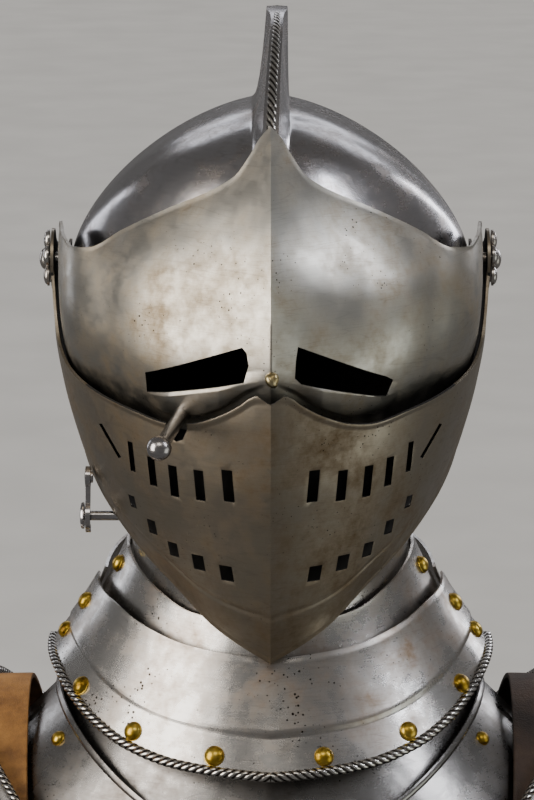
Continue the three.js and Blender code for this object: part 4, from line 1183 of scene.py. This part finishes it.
# %% Rivets


def on_surface(at, u, v, behind, lift=0.0, du=0.5, dv=0.02):
    """The point of a surface and its outward normal."""
    point = at(u, v)
    normal = (at(u + du, v) - at(u - du, v)).cross(at(u, min(1, v + dv)) - at(u, max(0, v - dv))).normalized()
    if normal.dot(point - Vector(behind)) < 0:
        normal.negate()
    return point + normal * lift, normal


def rivets(name, spots, material, body, radius=4.6, height=3.2):
    caps = []
    for point, normal in spots:
        size = radius * random.uniform(0.94, 1.06)
        profile = [(0, -0.4), (size * 1.04, -0.4), (size * 1.04, 0.35), (size, 0.5)]
        profile += [(r, z + 0.5) for r, z in dome(size * 0.97, height, 7)]
        caps.append(spun("cap", profile, facing(point, normal), 28))
    finish_piece(joined(caps, name), material, body, angle=40)


NECK = head(0, 0, -170)
lower_spots = [on_surface(front_lower_at, a, 0.875, NECK) for a in (-60.5, -38.4, -14.6, 13.8, 38.6, 61.5)]
lower_spots += [on_surface(front_lower_at, a, v, NECK, 0.9 if v < STEP_AT else 0)
                for a, v in ((-85, 0.74), (-83, 0.3), (85, 0.74), (82, 0.3))]
lower_spots += [on_surface(front_upper_at, a, 0.28, NECK) for a in (-84, 83)]
rivets("front_lame_rivets", lower_spots, rivet_brass, "chin_guard")
rear_spots = [on_surface(rear_lower_at, a, 0.84, NECK) for a in (-70, -46, -23, 0, 23, 46, 70)]
rear_spots += [on_surface(rear_upper_at, a, 0.4, NECK) for a in (-70, 0, 70)]
rivets("rear_lame_rivets", rear_spots, rivet_brass, "harness")
GORGET_HEART = (0, 0, -160)
gorget_spots = [on_surface(yoke_front_at, a, v, GORGET_HEART)
                for a, v in ((-66, 0.16), (66, 0.16), (-78, 0.42), (78, 0.42))]
gorget_spots += [on_surface(yoke_rear_at, a, 0.14, GORGET_HEART) for a in (-62, 62, -30, 30)]
rivets("gorget_rivets", gorget_spots, rivet_brass, "harness", 3.8, 2.6)
for side, sign in SIDES:
    heart = (sign * 170, TORSO_Y, -190)
    turns = (-92, -76, -60, -44, -28, -12, 6, 24, 42, 60, 78, 92)
    spots = [on_surface(lambda t, u, sign=sign: pauldron_at(sign, t, u), t, 0.11, heart) for t in turns]
    rivets(f"pauldron_{side}_rivets", spots, rivet_brass, f"shoulder_{side}", 3.8, 2.6)

# %% [markdown]
# ## Floor, light and camera
# The armour hangs where a wearer would carry it, so the floor lies well below it. Polished metal shows
# what stands round it: one large soft box beside the camera gives the broad highlight, and weaker boxes
# and strips at the other side, above and behind give the narrow ones. The world is kept darker than the
# floor so that the steel keeps its contrast.

# %% Floor
FLOOR_UP = -1.45
deselect()
bpy.ops.mesh.primitive_plane_add(size=60, location=(0, 0, FLOOR_UP))
floor = bpy.context.object
floor.name = "studio_floor"
paper, paper_shader = new_finish("studio_floor_paper")
paper_where = add_node(paper, "ShaderNodeTexCoord")
fibre = add_node(paper, "ShaderNodeTexNoise", [("Vector", paper_where, "Object")], Scale=3.0, Detail=4.0)
tone = add_node(paper, "ShaderNodeValToRGB", [("Fac", fibre, "Fac")])
set_ramp(tone, (0.3, "#c9c6c1"), (0.7, "#d2cfca"))
paper.node_tree.links.new(tone.outputs["Color"], paper_shader.inputs["Base Color"])
paper_shader.inputs["Roughness"].default_value = 0.9
floor.data.materials.append(paper)
# Neither the floor nor the sun is mirrored. No real room does this: it keeps the steel as dark as in the
# photograph, which was taken against black.
floor.visible_glossy = False

# %% Lights


def soft_box(name, place, aim, width, height, watts, colour="#ffffff"):
    light = bpy.data.lights.new(name, "AREA")
    light.shape = "RECTANGLE"
    light.size, light.size_y = width, height
    light.energy = watts
    light.color = linear(colour)[:3]
    lamp = linked(name, light)
    lamp.location = place
    lamp.rotation_euler = (Vector(aim) - Vector(place)).to_track_quat("-Z", "Y").to_euler()
    lamp.visible_camera = False


soft_box("box_left", (-2.2, -1.25, 0.75), (0, 0, 0.1), 1.5, 2.3, 70, "#fff8f0")
soft_box("card_right", (2.6, -0.9, -0.6), (0, 0, 0.0), 1.8, 1.6, 12, "#eef2ea")
soft_box("strip_right", (2.1, -0.65, 1.6), (0, 0, 0.0), 0.24, 1.2, 17, "#f2f5ff")
soft_box("box_top_front", (0, -1.8, 2.2), (0, 0, 0), 1.6, 0.8, 13, "#fff8ee")
soft_box("box_behind", (0.2, 2.4, 1.5), (0, 0, 0.2), 2.6, 0.5, 8, "#f2f5ff")
soft_box("rim_right", (1.75, 2.0, 0.75), (0, 0, 0.2), 0.4, 1.1, 14, "#f2f5ff")
soft_box("rim_left", (-2.0, 1.9, 0.5), (0, 0, 0.1), 0.6, 1.4, 6, "#f2f5ff")
sun = bpy.data.lights.new("ceiling_glow", "SUN")
sun.energy = 2.2
sun.angle = rad(60)
glow = linked("ceiling_glow", sun)
glow.location = (0, 0, 3)
glow.visible_glossy = False
world = bpy.data.worlds.new("studio")
bpy.context.scene.world = world
world.use_nodes = True
world.node_tree.nodes["Background"].inputs["Color"].default_value = linear("#8f8d8c")
world.node_tree.nodes["Background"].inputs["Strength"].default_value = 0.5

# %% Camera
CAMERA_BACK = 1.6
CAMERA_UP_ANGLE = 10
AIM_DOWN = 12.5
camera_data = bpy.data.cameras.new("camera")
camera_data.lens = 145.8
camera_data.sensor_width = 36
camera = linked("camera", camera_data)
camera.location = (-0.0017, -CAMERA_BACK * math.cos(rad(CAMERA_UP_ANGLE)),
                   PIVOT_UP * MM + CAMERA_BACK * math.sin(rad(CAMERA_UP_ANGLE)))
camera.rotation_euler = (rad(90 - AIM_DOWN), 0, 0)
bpy.context.scene.camera = camera
